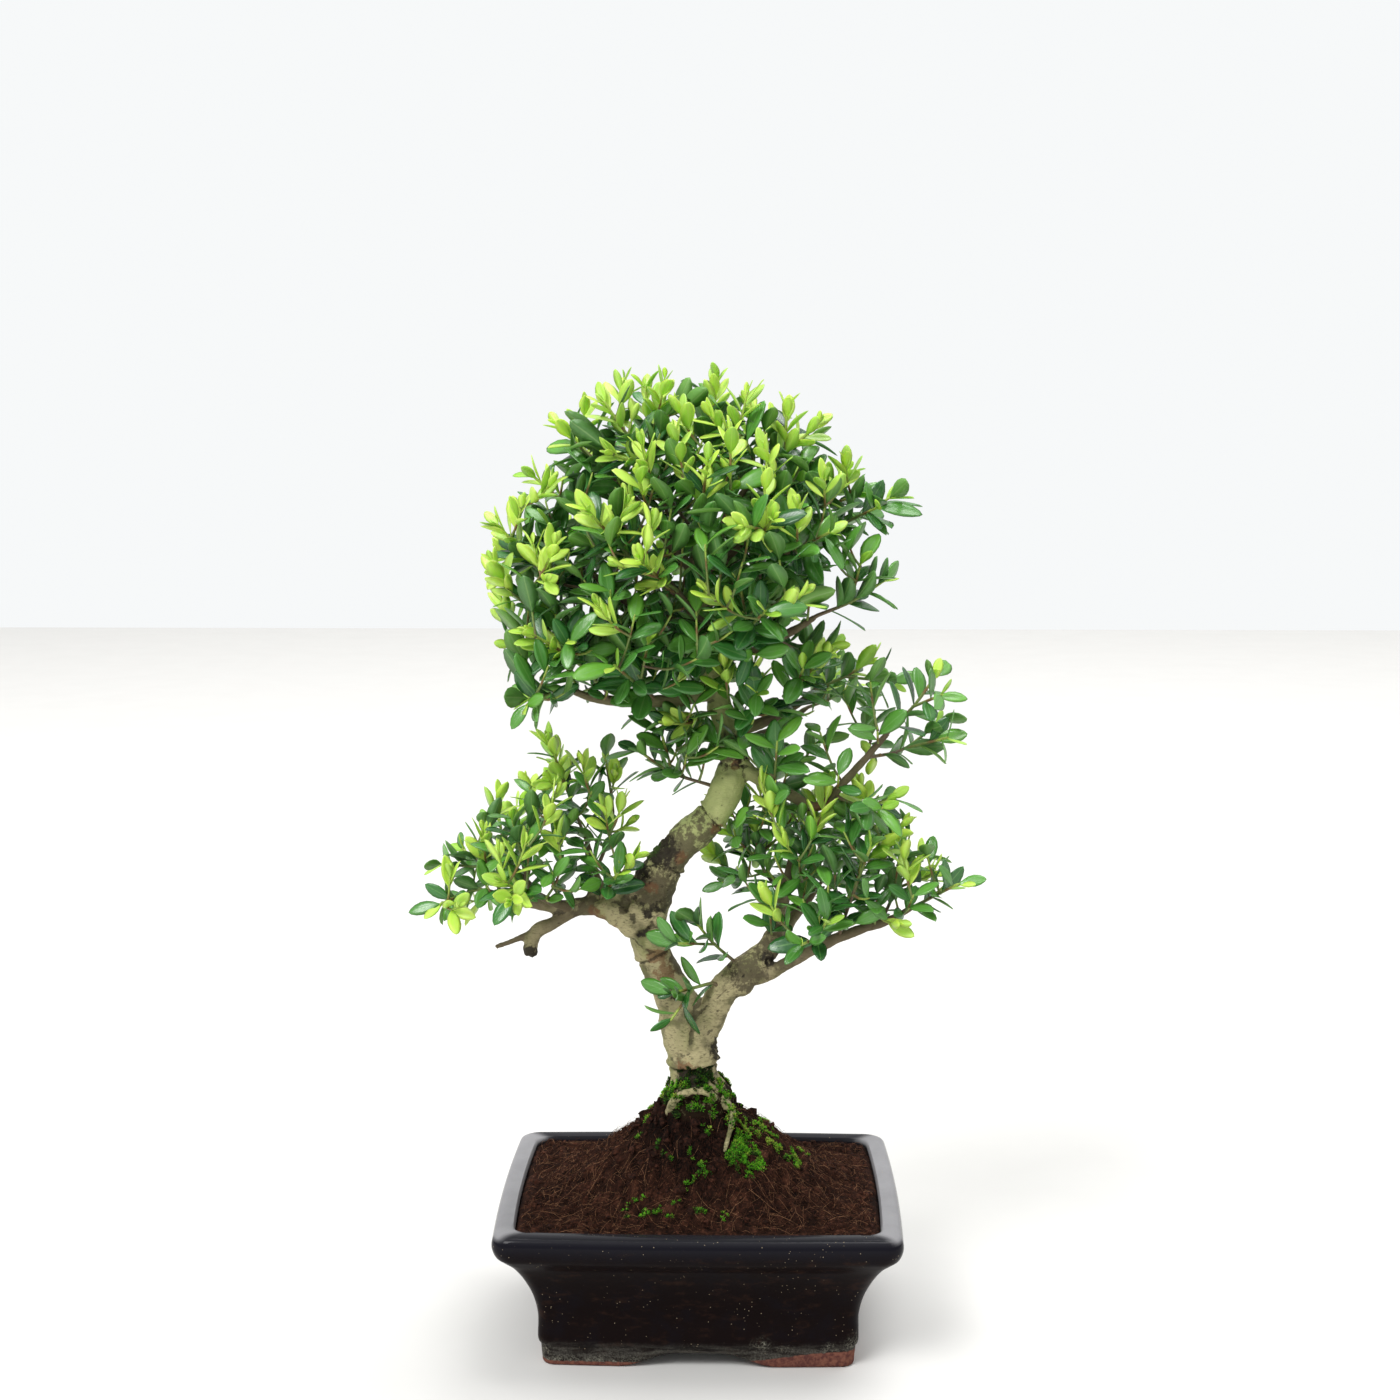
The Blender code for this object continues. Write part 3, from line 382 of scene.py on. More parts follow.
class Skin:
    """The forms and the point values of one piece, gathered before its mesh is made."""

    def __init__(self) -> None:
        """Starts an empty piece."""
        self.points: list[np.ndarray] = []
        self.faces: list[list[int]] = []
        self.finishes: list[np.ndarray] = []
        self.values: dict[str, list[np.ndarray]] = defaultdict(list)
        self.size = 0

    def add(self, form: Form, finish: Any = 0, **values: Any) -> None:
        """Adds a form.

        Args:
            form: The form.
            finish: The material number of its faces, or one number for each face.
            **values: A value for each point, or one for all.
        """
        self.points.append(form.points)
        self.faces += (form.quads + self.size).tolist()
        self.faces += (form.triangles + self.size).tolist()
        faces = len(form.quads) + len(form.triangles)
        self.finishes.append(np.broadcast_to(np.asarray(finish), (faces,)))
        for name, value in values.items():
            self.values[name].append(np.broadcast_to(np.asarray(value, float), (len(form.points),)))
        self.size += len(form.points)

    def build(self, name: str, materials: list[bpy.types.Material]) -> bpy.types.Object:
        """Makes the piece in the row's frame.

        Args:
            name: The piece's name.
            materials: Its materials, in the order of their numbers.

        Returns:
            The new object.
        """
        mesh = bpy.data.meshes.new(name)
        points = (np.concatenate(self.points) + MIDDLE) * MM
        mesh.from_pydata(points.tolist(), [], self.faces)
        mesh.polygons.foreach_set("material_index", np.concatenate(self.finishes).astype(np.int32))
        for value_name, parts in self.values.items():
            layer = mesh.attributes.new(value_name, "FLOAT", "POINT")
            layer.data.foreach_set("value", np.concatenate(parts).astype(np.float32))
        for material in materials:
            mesh.materials.append(material)
        mesh.shade_smooth()
        return add_object(name, mesh)


def add_object(name: str, data: bpy.types.ID) -> bpy.types.Object:
    """Adds an object to the scene.

    Args:
        name: Its name.
        data: The mesh, light or camera that it shows.

    Returns:
        The object.
    """
    made = bpy.data.objects.new(name, data)
    bpy.context.scene.collection.objects.link(made)
    return made


def apply_modifiers(made: bpy.types.Object) -> None:
    """Turns what the object's modifiers make into its own mesh.

    Args:
        made: The object.
    """
    graph = bpy.context.evaluated_depsgraph_get()
    mesh = bpy.data.meshes.new_from_object(made.evaluated_get(graph))
    made.modifiers.clear()
    old, made.data = made.data, mesh
    bpy.data.meshes.remove(old)


def search_tree(mesh: bpy.types.Mesh, points: Any) -> BVHTree:
    """The search tree of the mesh's faces, over its points in millimetres."""
    return BVHTree.FromPolygons(points, [tuple(face.vertices) for face in mesh.polygons])


def hand_over(piece: bpy.types.Object, slot: Slot, *replaced: str) -> None:
    """Lets the piece ride on the body and reports it.

    Args:
        piece: The finished piece.
        slot: The record's slot that it takes its finish from; it is not used.
        *replaced: The nodes of the solid model that it stands for.
    """
    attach(piece, ROOT)
    if replaced:
        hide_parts(*replaced)
    LOG.info("%s: %d faces", piece.name, len(piece.data.polygons))


# Finishes


class Signal:
    """A value or a colour on its way through the nodes of a material."""

    def __init__(self, recipe: "Recipe", socket: bpy.types.NodeSocket) -> None:
        """Notes the socket that it comes out of."""
        self.recipe = recipe
        self.socket = socket

    def __add__(self, other: Any) -> "Signal":
        """The sum, kept between 0 and 1."""
        return self.recipe.math("ADD", self, other)

    def __sub__(self, other: Any) -> "Signal":
        """The difference, kept between 0 and 1."""
        return self.recipe.math("SUBTRACT", self, other)

    def __mul__(self, other: Any) -> "Signal":
        """The product, kept between 0 and 1."""
        return self.recipe.math("MULTIPLY", self, other)

    def between(self, low: float, high: float) -> "Signal":
        """Rises smoothly from 0 where the value is low to 1 where it is high."""
        limits = {"Value": self, "From Min": low, "From Max": high}
        return self.recipe.node("MapRange", limits, interpolation_type="SMOOTHSTEP")

    def scaled(self, least: float, most: float) -> "Signal":
        """A value between 0 and 1 turned into one between least and most."""
        return self.recipe.node("MapRange", {"Value": self, "To Min": least, "To Max": most})


class Recipe:
    """A Principled material, with short ways to add the nodes that drive it."""

    def __init__(self, name: str, **fixed: Any) -> None:
        """Starts the material.

        Args:
            name: The material's name.
            **fixed: Values the same all over, by the shader's socket names with underscores.
        """
        self.material = bpy.data.materials.new(name)
        self.material.use_nodes = True
        self.tree = self.material.node_tree
        self.apply(**fixed)

    def apply(self, **inputs: Any) -> bpy.types.Material:
        """Sets sockets of the shader.

        Args:
            **inputs: A value or a signal for each, by the socket's name with underscores.

        Returns:
            The material.
        """
        shader = self.tree.nodes["Principled BSDF"]
        for socket, value in inputs.items():
            self.feed(shader.inputs[socket.replace("_", " ")], value)
        return self.material

    def feed(self, socket: bpy.types.NodeSocket, value: Any) -> None:
        """Links the socket, or sets it where the value is a number or a colour.

        Args:
            socket: The socket.
            value: A signal, a number or the parts of a colour or a vector.
        """
        if isinstance(value, Signal):
            self.tree.links.new(value.socket, socket)
        elif isinstance(value, tuple):
            socket.default_value = (*value, 1.0)[: len(socket.default_value)]
        else:
            socket.default_value = value

    def node(self, kind: str, inputs: dict[Any, Any], output: Any = 0, **settings: Any) -> Signal:
        """Adds a node.

        Args:
            kind: The node's type, without its prefix.
            inputs: What each socket gets, a number, a colour or a signal.
            output: The name or number of the socket that is used.
            **settings: Values of the node's own properties.

        Returns:
            What comes out of the node.
        """
        made = self.tree.nodes.new(f"ShaderNode{kind}")
        for name, value in settings.items():
            setattr(made, name, value)
        for socket, value in inputs.items():
            self.feed(made.inputs[socket], value)
        return Signal(self, made.outputs[output])

    def place(self, stretch: Place = (1, 1, 1)) -> Signal:
        """The point's place in metres, each axis multiplied by its stretch."""
        here = self.node("TexCoord", {}, "Object")
        return self.node("Mapping", {"Vector": here, "Scale": stretch})

    def height(self) -> Signal:
        """The point's height in metres."""
        return self.node("SeparateXYZ", {0: self.place()}, "Z")

    def point_value(self, name: str) -> Signal:
        """A value stored with the mesh's points."""
        return self.node("Attribute", {}, "Fac", attribute_name=name)

    def noise(
        self, lump: float, detail: float = 3.0, roughness: float = 0.55, stretch: Place = (1, 1, 1)
    ) -> Signal:
        """Cloudy noise.

        Args:
            lump: The size of its lumps in millimetres.
            detail: The number of finer layers.
            roughness: How strong the finer layers are.
            stretch: How much closer the lumps lie along each axis.

        Returns:
            The noise, mostly between 0.3 and 0.7.
        """
        return self.node("TexNoise", {
            "Vector": self.place(stretch), "Scale": 1 / (lump * MM), "Detail": detail,
            "Roughness": roughness,
        })

    def cells(self, size: float, stretch: Place = (1, 1, 1)) -> Signal:
        """The distance to scattered points, about the size in millimetres apart."""
        inputs = {"Vector": self.place(stretch), "Scale": 1 / (size * MM)}
        return self.node("TexVoronoi", inputs, "Distance")

    def math(self, operation: str, a: Any, b: Any = 0.0, clamped: bool = True) -> Signal:
        """A sum, product or the like of two values, between 0 and 1 where it is clamped."""
        return self.node("Math", {0: a, 1: b}, operation=operation, use_clamp=clamped)

    def ramp(self, value: Signal, stops: tuple[tuple[float, Colour], ...]) -> Signal:
        """Sets colours along a value.

        Args:
            value: The value, from 0 to 1.
            stops: Each colour with its place along the value.

        Returns:
            The colour.
        """
        made = self.node("ValToRGB", {"Fac": value}, "Color")
        elements = made.socket.node.color_ramp.elements
        while len(elements) < len(stops):
            elements.new(0.5)
        for element, (position, colour) in zip(elements, stops):
            element.position = position
            element.color = (*colour, 1.0)
        return made

    def mix(self, share: Any, first: Any, second: Any, way: str = "MIX") -> Signal:
        """The second colour over the first by a share."""
        inputs = {"Factor": share, 6: first, 7: second}
        return self.node("Mix", inputs, 2, data_type="RGBA", blend_type=way)

    def bump(self, height: Signal, depth: float, strength: float = 1.0) -> None:
        """Raises the surface by a height between 0 and 1, with its depth in millimetres."""
        inputs = {"Height": height, "Distance": depth * MM, "Strength": strength}
        self.apply(Normal=self.node("Bump", inputs, "Normal"))


@dataclass(frozen=True)
class LeafFinish:
    """A leaf's surface: colours from old to new growth, and how it shines."""

    name: str
    stops: tuple[tuple[float, Colour], ...]
    rib: Colour
    rib_strength: float
    gloss_roughness: float
    translucence: float
    cool: Colour = (0.6, 0.68, 0.62)
    neutral: Colour = (1.0, 1.0, 1.0)
    warm: Colour = (1.0, 1.0, 0.72)
    mottling: float = 0.12
    vein_slant: float = 0.35
    vein_waves: float = 58.0

    def material(self) -> bpy.types.Material:
        """Makes the leaf's material, with its midrib, side veins and mottling.

        Returns:
            The material.
        """
        made = Recipe(
            self.name, Subsurface_Weight=self.translucence, Subsurface_Scale=0.0012,
            Subsurface_Radius=(0.5, 1.0, 0.2), Specular_IOR_Level=0.65,
        )
        age, tone, across, along = map(made.point_value, ("age", "tone", "across", "along"))
        colour = made.ramp(age + tone.scaled(-0.07, 0.07), self.stops)
        shade = made.ramp(tone, ((0.0, self.cool), (0.5, self.neutral), (1.0, self.warm)))
        colour = made.mix(0.8, colour, shade, "MULTIPLY")
        mottle = made.noise(1.6).between(0.3, 0.7)
        pale = made.mix(0.5, colour, self.rib)
        colour = made.mix(mottle.scaled(0.0, self.mottling), colour, pale)
        near_rib = across.between(0.13, 0.02)
        colour = made.mix(near_rib.scaled(0.0, self.rib_strength), colour, self.rib)
        slanted = made.math("SUBTRACT", along, across * self.vein_slant, clamped=False)
        wave = made.math("MULTIPLY", slanted, self.vein_waves, clamped=False)
        veins = made.math("SINE", wave, clamped=False).between(0.55, 1.0).scaled(0.55, 0.0)
        made.bump(veins + mottle * self.mottling, 0.12, 0.6)
        rough = mottle.scaled(self.gloss_roughness, self.gloss_roughness + 0.06)
        return made.apply(Base_Color=colour, Roughness=rough)


@dataclass(frozen=True)
class ShootFinish:
    """The skin of twigs: woody at the base, green above and red-brown under new leaves."""

    wood: Colour = (0.13, 0.09, 0.05)
    green: Colour = (0.17, 0.25, 0.055)
    red: Colour = (0.2, 0.12, 0.035)
    tip: Colour = (0.36, 0.5, 0.08)

    def material(self) -> bpy.types.Material:
        """Makes the twigs' material, coloured by the distance back from the tip.

        Returns:
            The material.
        """
        made = Recipe("shoot_skin", Subsurface_Weight=0.05, Subsurface_Scale=0.001)
        skin = made.ramp(made.point_value("age"), (
            (0.0, self.wood), (0.3, self.green), (0.56, self.green), (0.64, self.red),
            (0.7, self.red), (0.8, self.tip)))
        spots = made.noise(0.7).between(0.42, 0.62)
        colour = made.mix(spots.scaled(0.0, 0.35), skin, self.wood)
        made.bump(made.noise(0.5), 0.12)
        return made.apply(Base_Color=colour, Roughness=spots.scaled(0.5, 0.72))


@dataclass(frozen=True)
class BarkFinish:
    """Smooth grey-beige bark with rust, lenticels, dark rough places and a green film; painted shade
    darkens its creases and, in part, the middle of the trunk.
    """

    pale: Colour = (0.4, 0.35, 0.19)
    grey: Colour = (0.14, 0.125, 0.062)
    film: Colour = (0.2, 0.225, 0.07)
    fresh: Colour = (0.42, 0.48, 0.18)
    brown: Colour = (0.078, 0.062, 0.035)
    young: Colour = (0.115, 0.088, 0.05)
    rust: Colour = (0.17, 0.075, 0.032)
    dark: Colour = (0.022, 0.017, 0.01)
    moss: Colour = (0.04, 0.085, 0.01)
    earth: Colour = (0.016, 0.01, 0.006)
    fresh_height: tuple[float, float] = (0.225, 0.265)
    pore_spacing: float = 9.5
    up_the_grain: tuple[Place, Place] = ((1.0, 1.0, 3.2), (1.0, 1.0, 2.3))

    def material(self) -> bpy.types.Material:
        """Makes the bark's material, from the values stored with its points.

        Returns:
            The material.
        """
        made = Recipe("holly_bark")
        cloud = made.noise(11.0, 4.0)
        fine = made.noise(1.5, 4.0, 0.65)
        grain = made.noise(2.2, 3.0, 0.6, self.up_the_grain[0])
        colour = made.ramp(
            cloud.between(0.32, 0.68), ((0.0, self.grey), (0.45, self.pale), (1.0, self.pale)))
        colour = made.mix(grain.between(0.52, 0.72), colour, self.grey)
        film = made.noise(17.0, 3.0).between(0.42, 0.68)
        colour = made.mix(film.scaled(0.0, 0.5), colour, self.film)
        upper = made.height().between(*self.fresh_height)
        colour = made.mix(upper * cloud.scaled(0.35, 1.0), colour, self.fresh)
        colour = made.mix(made.point_value("young") * cloud.scaled(0.6, 1.3), colour, self.young)
        broken = made.noise(3.4, 5.0, 0.7).between(0.3, 0.7)
        # The crease value is painted shade: the dark tint where the bark lies below the skin round it.
        for value, tint, most in (
            ("brown", self.brown, 0.85), ("rust", self.rust, 0.7), ("dark", self.dark, 0.95),
            ("moss", self.moss, 0.9), ("crease", self.dark, 0.65), ("earth", self.earth, 1.0),
        ):
            frayed = broken.scaled(-0.45, 0.45)
            edge = made.math("ADD", made.point_value(value), frayed, clamped=False)
            colour = made.mix(edge.between(0.35, 0.85).scaled(0.0, most), colour, tint)
        pore = made.cells(self.pore_spacing, self.up_the_grain[1]).between(0.1, 0.06)
        colour = made.mix(pore.scaled(0.0, 0.45), colour, self.dark)
        made.bump(grain * 0.5 + fine * 0.5 - pore * 0.4, 0.9, 0.8)
        gloss = made.point_value("earth").scaled(0.3, 0.02)
        return made.apply(
            Base_Color=colour, Roughness=fine.scaled(0.62, 0.95), Specular_IOR_Level=gloss)


@dataclass(frozen=True)
class GlazeFinish:
    """Thick dark glaze with pale specks, a bare foot, lime that watering has left, and a painted
    reflection on the top of the rim.
    """

    body: Colour = (0.0052, 0.0024, 0.0024)
    rim: Colour = (0.0052, 0.0048, 0.0085)
    # The thin tint is a painted reflection: pale grey laid on the rim's top, strongest along its short
    # ends.
    thin: Colour = (0.27, 0.265, 0.275)
    stain: Colour = (0.02, 0.009, 0.006)
    clay: Colour = (0.2, 0.082, 0.056)
    clay_dark: Colour = (0.09, 0.034, 0.03)
    haze: Colour = (0.085, 0.08, 0.068)
    lime: Colour = (0.3, 0.29, 0.23)
    speck: Colour = (0.34, 0.27, 0.18)
    rim_height: tuple[float, float] = (60.0, 71.0)
    haze_height: tuple[float, float] = (14.5, 8.5)
    wet_height: tuple[float, float] = (6.5, 2.0)
    clay_edge: tuple[float, float] = (0.35, -0.35)
    clay_wander: tuple[float, float] = (-0.7, 0.7)

    def material(self) -> bpy.types.Material:
        """Makes the pot's material, zoned by height.

        Returns:
            The material.
        """
        made = Recipe("dark_glaze", Coat_Roughness=0.05)
        height = made.height()

        def zone(value: Signal, limits: tuple[float, float]) -> Signal:
            """Rises over two heights in millimetres."""
            return value.between(limits[0] * MM, limits[1] * MM)

        cloud = made.noise(14.0, 4.0, 0.6)
        fine = made.noise(2.4, 5.0, 0.65)
        dust = made.noise(0.9, 4.0, 0.75)
        on_rim = zone(height, self.rim_height)
        colour = made.mix(on_rim, self.body, self.rim)
        colour = made.mix(cloud.between(0.45, 0.7).scaled(0.0, 0.35), colour, self.rim)
        stain = made.noise(8.0, 4.0, 0.65, (0.7, 0.7, 1.6)).between(0.52, 0.72)
        colour = made.mix(stain * on_rim.scaled(0.8, 0.0), colour, self.stain)
        # Painted reflection: the thin value turns the rim's top grey where the lights would be
        # reflected.
        thin = made.point_value("thin") * cloud.scaled(0.75, 1.15)
        colour = made.mix(thin, colour, self.thin)
        speck = made.cells(2.3).between(0.12, 0.06) * made.noise(9.0, 2.0).between(0.47, 0.56)
        colour = made.mix(speck, colour, self.speck)
        low = zone(height, self.haze_height)
        streaks = made.noise(6.0, 4.0, 0.65, (0.4, 0.4, 2.6)).between(0.38, 0.6)
        ragged = low * dust.between(0.3, 0.75).scaled(0.25, 1.0) * streaks.scaled(0.15, 1.0)
        colour = made.mix(ragged, colour, self.haze)
        crust = made.point_value("lime") + (low * 0.05 + zone(height, self.wet_height) * 0.7)
        crust = crust * dust.between(0.42, 0.66) * fine.between(0.35, 0.6)
        colour = made.mix(crust, colour, self.lime)
        least, most = self.clay_wander
        wavy = made.math("ADD", height, fine.scaled(least * MM, most * MM), clamped=False)
        above = made.math("SUBTRACT", wavy, made.point_value("clay_top"), clamped=False)
        bare = zone(above, self.clay_edge)
        clay = made.mix(fine.between(0.35, 0.65), self.clay, self.clay_dark)
        colour = made.mix(bare, colour, clay)
        grazing = made.node("LayerWeight", {"Blend": 0.5}, "Facing").between(0.62, 0.98)
        coat = made.math("MAXIMUM", on_rim.scaled(0.03, 0.1), grazing * on_rim.scaled(0.06, 0.5))
        rough = bare * 0.6 + ragged * 0.3 + crust * 0.5 + thin * 0.25
        rough = rough + on_rim.scaled(0.2, 0.0) + fine.scaled(0.08, 0.2)
        made.bump(cloud * 0.7 + fine * 0.3 + crust * 0.3, 0.4, 0.4)
        return made.apply(
            Base_Color=colour, Roughness=rough, Coat_Weight=coat,
            Specular_IOR_Level=on_rim.scaled(0.035, 0.06))


@dataclass(frozen=True)
class SubstrateFinish:
    """Moist red-brown plant fibre: the ground itself, or the strands and crumbs on it."""

    name: str
    dark: Colour
    middle: Colour
    light: Colour
    roughness: float = 0.93

    def material(self) -> bpy.types.Material:
        """Makes the substrate's material, its tone stored with the points.

        Returns:
            The material.
        """
        made = Recipe(self.name, Roughness=self.roughness, Specular_IOR_Level=0.1)
        grain = made.noise(1.3, 5.0, 0.7).between(0.3, 0.7).scaled(-0.3, 0.3)
        stops = ((0.0, self.dark), (0.5, self.middle), (1.0, self.light))
        made.bump(made.noise(0.8, 4.0, 0.7), 0.8)
        return made.apply(Base_Color=made.ramp(made.point_value("tone") + grain, stops))


@dataclass(frozen=True)
class MossFinish:
    """Fresh cushion moss, darker at the foot of each shoot and bright at its tips: partly the moss's own
    duller base, partly painted shade.
    """

    # The foot colour is partly the moss's own dull base and partly painted shade inside the cushion.
    foot: Colour = (0.012, 0.028, 0.003)
    olive: Colour = (0.013, 0.034, 0.004)
    bright: Colour = (0.13, 0.56, 0.008)
    yellow: Colour = (0.42, 0.6, 0.06)

    def material(self) -> bpy.types.Material:
        """Makes the moss's material.

        Returns:
            The material.
        """
        made = Recipe("cushion_moss", Roughness=0.75, Subsurface_Weight=0.12,
                      Subsurface_Scale=0.0008, Specular_IOR_Level=0.25)
        stops = ((0.0, self.olive), (0.5, self.bright), (0.62, self.bright), (1.0, self.yellow))
        colour = made.ramp(made.point_value("tone"), stops)
        # Each blade darkens towards its foot: partly its own duller base, partly painted shade within
        # the cushion.
        colour = made.mix(made.point_value("along").between(1.0, 0.3), colour, self.foot)
        colour = made.mix(made.noise(0.9).scaled(0.0, 0.2), colour, self.foot)
        made.bump(made.noise(0.4), 0.1)
        return made.apply(Base_Color=colour)


@dataclass(frozen=True)
class PlasticFinish:
    """Matt black plastic, scuffed and dusty from the substrate."""

    clean: Colour = (0.018, 0.018, 0.019)
    dust: Colour = (0.06, 0.04, 0.028)

    def material(self) -> bpy.types.Material:
        """Makes the drainage mesh's material.

        Returns:
            The material.
        """
        made = Recipe("drainage_plastic")
        patches = made.noise(4.0, 4.0).between(0.45, 0.62)
        made.bump(made.noise(0.6), 0.1)
        return made.apply(Base_Color=made.mix(patches, self.clean, self.dust),
                          Roughness=patches.scaled(0.4, 0.85))


# Pot


@dataclass
class Pot:
    """The glazed pot: its plan, its profile and its four feet."""

    half_length: float = 100.0
    half_depth: float = 75.0
    bow: float = 1.6
    corner_radius: float = 9.0
    corner_tightening: float = 0.12
    corner_steps: int = 9
    outside: tuple[tuple[float, float], ...] = (
        (10.0, 21.3), (13.0, 20.0), (25.0, 20.1), (35.5, 18.0), (45.5, 13.9), (53.5, 9.1),
        (58.4, 4.6), (61.8, 1.6), (67.0, 0.0), (71.5, 0.8), (73.5, 3.4), (73.5, 8.2),
        (72.0, 10.4), (62.0, 12.0), (50.0, 19.5), (36.0, 25.5), (16.0, 27.5), (14.0, 29.5),
    )
    profile_spacing: float = 1.2
    foot_inset: float = 22.0
    skirt_inset: float = 31.0
    foot_round: float = 0.9
    underside: float = 8.0
    floor: float = 14.0
    arch_height: float = 7.0
    front_arch: tuple[float, float] = (38.5, 11.0)
    side_arch: tuple[float, float] = (27.0, 8.0)
    drain_offset: float = 36.0
    drain_radius: float = 7.0
    drain_margin: float = 4.0
    clay_heights: tuple[float, float] = (2.3, 8.2)
    clay_reach: tuple[float, float] = (8.0, 72.0)
    lime_spots: tuple[Ball, ...] = (
        (31, -54, 12.5, 6), (77, -51, 12, 8), (42, -54, 10, 4), (-77, -51, 8, 7), (64, -54, 10, 5),
    )
    finish: GlazeFinish = field(default_factory=GlazeFinish)

    def plan(self, inset: float, long_steps: int, short_steps: int) -> np.ndarray:
        """Draws the plan.

        Args:
            inset: How far it is drawn in from the rim.
            long_steps: The number of stretches along each long side.
            short_steps: The same along each short side.

        Returns:
            Its points, anticlockwise from the corner at +X +Y.
        """
        radius = self.corner_radius - inset * self.corner_tightening
        middle_x = self.half_length - self.bow - inset - radius
        middle_y = self.half_depth - self.bow - inset - radius
        corners = []
        for number, (sign_x, sign_y) in enumerate(((1, 1), (-1, 1), (-1, -1), (1, -1))):
            angles = np.radians(90 * (number + np.arange(self.corner_steps + 1) / self.corner_steps))
            corners.append(np.stack([
                sign_x * middle_x + radius * np.cos(angles),
                sign_y * middle_y + radius * np.sin(angles),
            ], axis=-1))
        outward = ((0, 1), (-1, 0), (0, -1), (1, 0))
        points = []
        for number, corner in enumerate(corners):
            points.append(corner)
            steps = short_steps if number % 2 else long_steps
            share = (np.arange(1, steps) / steps)[:, None]
            line = corner[-1] + share * (corners[(number + 1) % 4][0] - corner[-1])
            bow = self.bow * (1 - (2 * share - 1) ** 2)
            points.append(line + bow * np.array(outward[number]))
        return np.concatenate(points)

    def ring(self, height: float, inset: float) -> np.ndarray:
        """The plan at a height, in the pot's own steps."""
        plan = self.plan(inset, 36, 26)
        return np.column_stack([plan, np.full(len(plan), height)])

    def lift(self, ring: np.ndarray) -> np.ndarray:
        """Raises a low ring between two feet.

        Args:
            ring: The ring's points.

        Returns:
            How far each point is raised.
        """
        on_long_side = np.abs(ring[:, 1]) / self.half_depth > np.abs(ring[:, 0]) / self.half_length
        raised = np.zeros(len(ring))
        for (half, flat), place, chosen in (
            (self.front_arch, ring[:, 0], on_long_side),
            (self.side_arch, ring[:, 1], ~on_long_side),
        ):
            raised += chosen * self.arch_height * ease(-np.abs(place), -half, -flat)
        return raised

    def rings(self) -> np.ndarray:
        """Lays rings from under the floor, round the feet, up the outside and down the inside.

        Returns:
            The rings, one after another.
        """
        turn = self.foot_round
        foot = (
            (turn, self.skirt_inset), (0.25 * turn, self.skirt_inset - 0.3 * turn),
            (0.0, self.skirt_inset - turn), (0.0, self.foot_inset + turn),
            (0.25 * turn, self.foot_inset + 0.3 * turn), (turn, self.foot_inset),
        )
        rings = [self.ring(self.underside, self.skirt_inset)]
        for height, inset in foot:
            ring = self.ring(height, inset)
            ring[:, 2] += self.lift(ring)
            rings.append(ring)
        top = self.outside[0][0]
        for share in (0.3, 0.6, 0.85):
            inset = self.foot_inset + share * (self.outside[0][1] - self.foot_inset)
            ring = self.ring(0.0, inset)
            low = turn + self.lift(ring)
            ring[:, 2] = low + share * (top - low)
            rings.append(ring)
        for height, inset in smooth_path(self.outside, self.profile_spacing):
            rings.append(self.ring(height, inset))
        return np.array(rings)

    def values(self, points: np.ndarray) -> dict[str, np.ndarray]:
        """Finds where a reflection is painted on the rim's top, where lime lies and how far up the clay
        is bare.

        Args:
            points: The pot's points.

        Returns:
            The values of the points, by name.
        """
        sideways = np.abs(points[:, 0]) / self.half_length - np.abs(points[:, 1]) / self.half_depth
        upward = ease(points[:, 2], 70.6, 73.0)
        lime = np.zeros(len(points))
        for x, y, z, radius in self.lime_spots:
            away = np.linalg.norm(points - (x, y, z), axis=1)
            lime = np.maximum(lime, ease(-away, -radius, 0.0))
        least, most = self.clay_heights
        clay_top = least + (most - least) * ease(points[:, 0], *self.clay_reach)
        return {
            # The thin value marks the painted reflection on the rim's top, mostly along its short ends.
            "thin": upward * (0.05 + 0.95 * ease(sideways, -0.05, 0.05)),
            "lime": lime,
            "clay_top": clay_top * MM,
        }

    def build(self) -> None:
        """Makes the pot, with its two drainage holes cut through the floor."""
        skin = Skin()
        form = loft(self.rings(), (0, 0, self.underside), (0, 0, self.floor))
        skin.add(form, **self.values(form.points))
        pot = skin.build("glazed_pot", [self.finish.material()])
        for x in (-self.drain_offset, self.drain_offset):
            heights = (self.underside - self.drain_margin, self.floor + self.drain_margin)
            drill = Skin()
            drill.add(sweep(np.array([(x, 0, z, self.drain_radius) for z in heights]), 40, 0.0))
            cutter = drill.build("drain_cutter", [])
            hole = pot.modifiers.new("drain", "BOOLEAN")
            hole.operation = "DIFFERENCE"
            hole.solver = "EXACT"
            hole.object = cutter
            apply_modifiers(pot)
            bpy.data.objects.remove(cutter)
        pot.data.shade_smooth()
        pot.data.set_sharp_from_angle(angle=math.radians(50))
        hand_over(pot, Slot.GLAZE, "pot")


# Wood


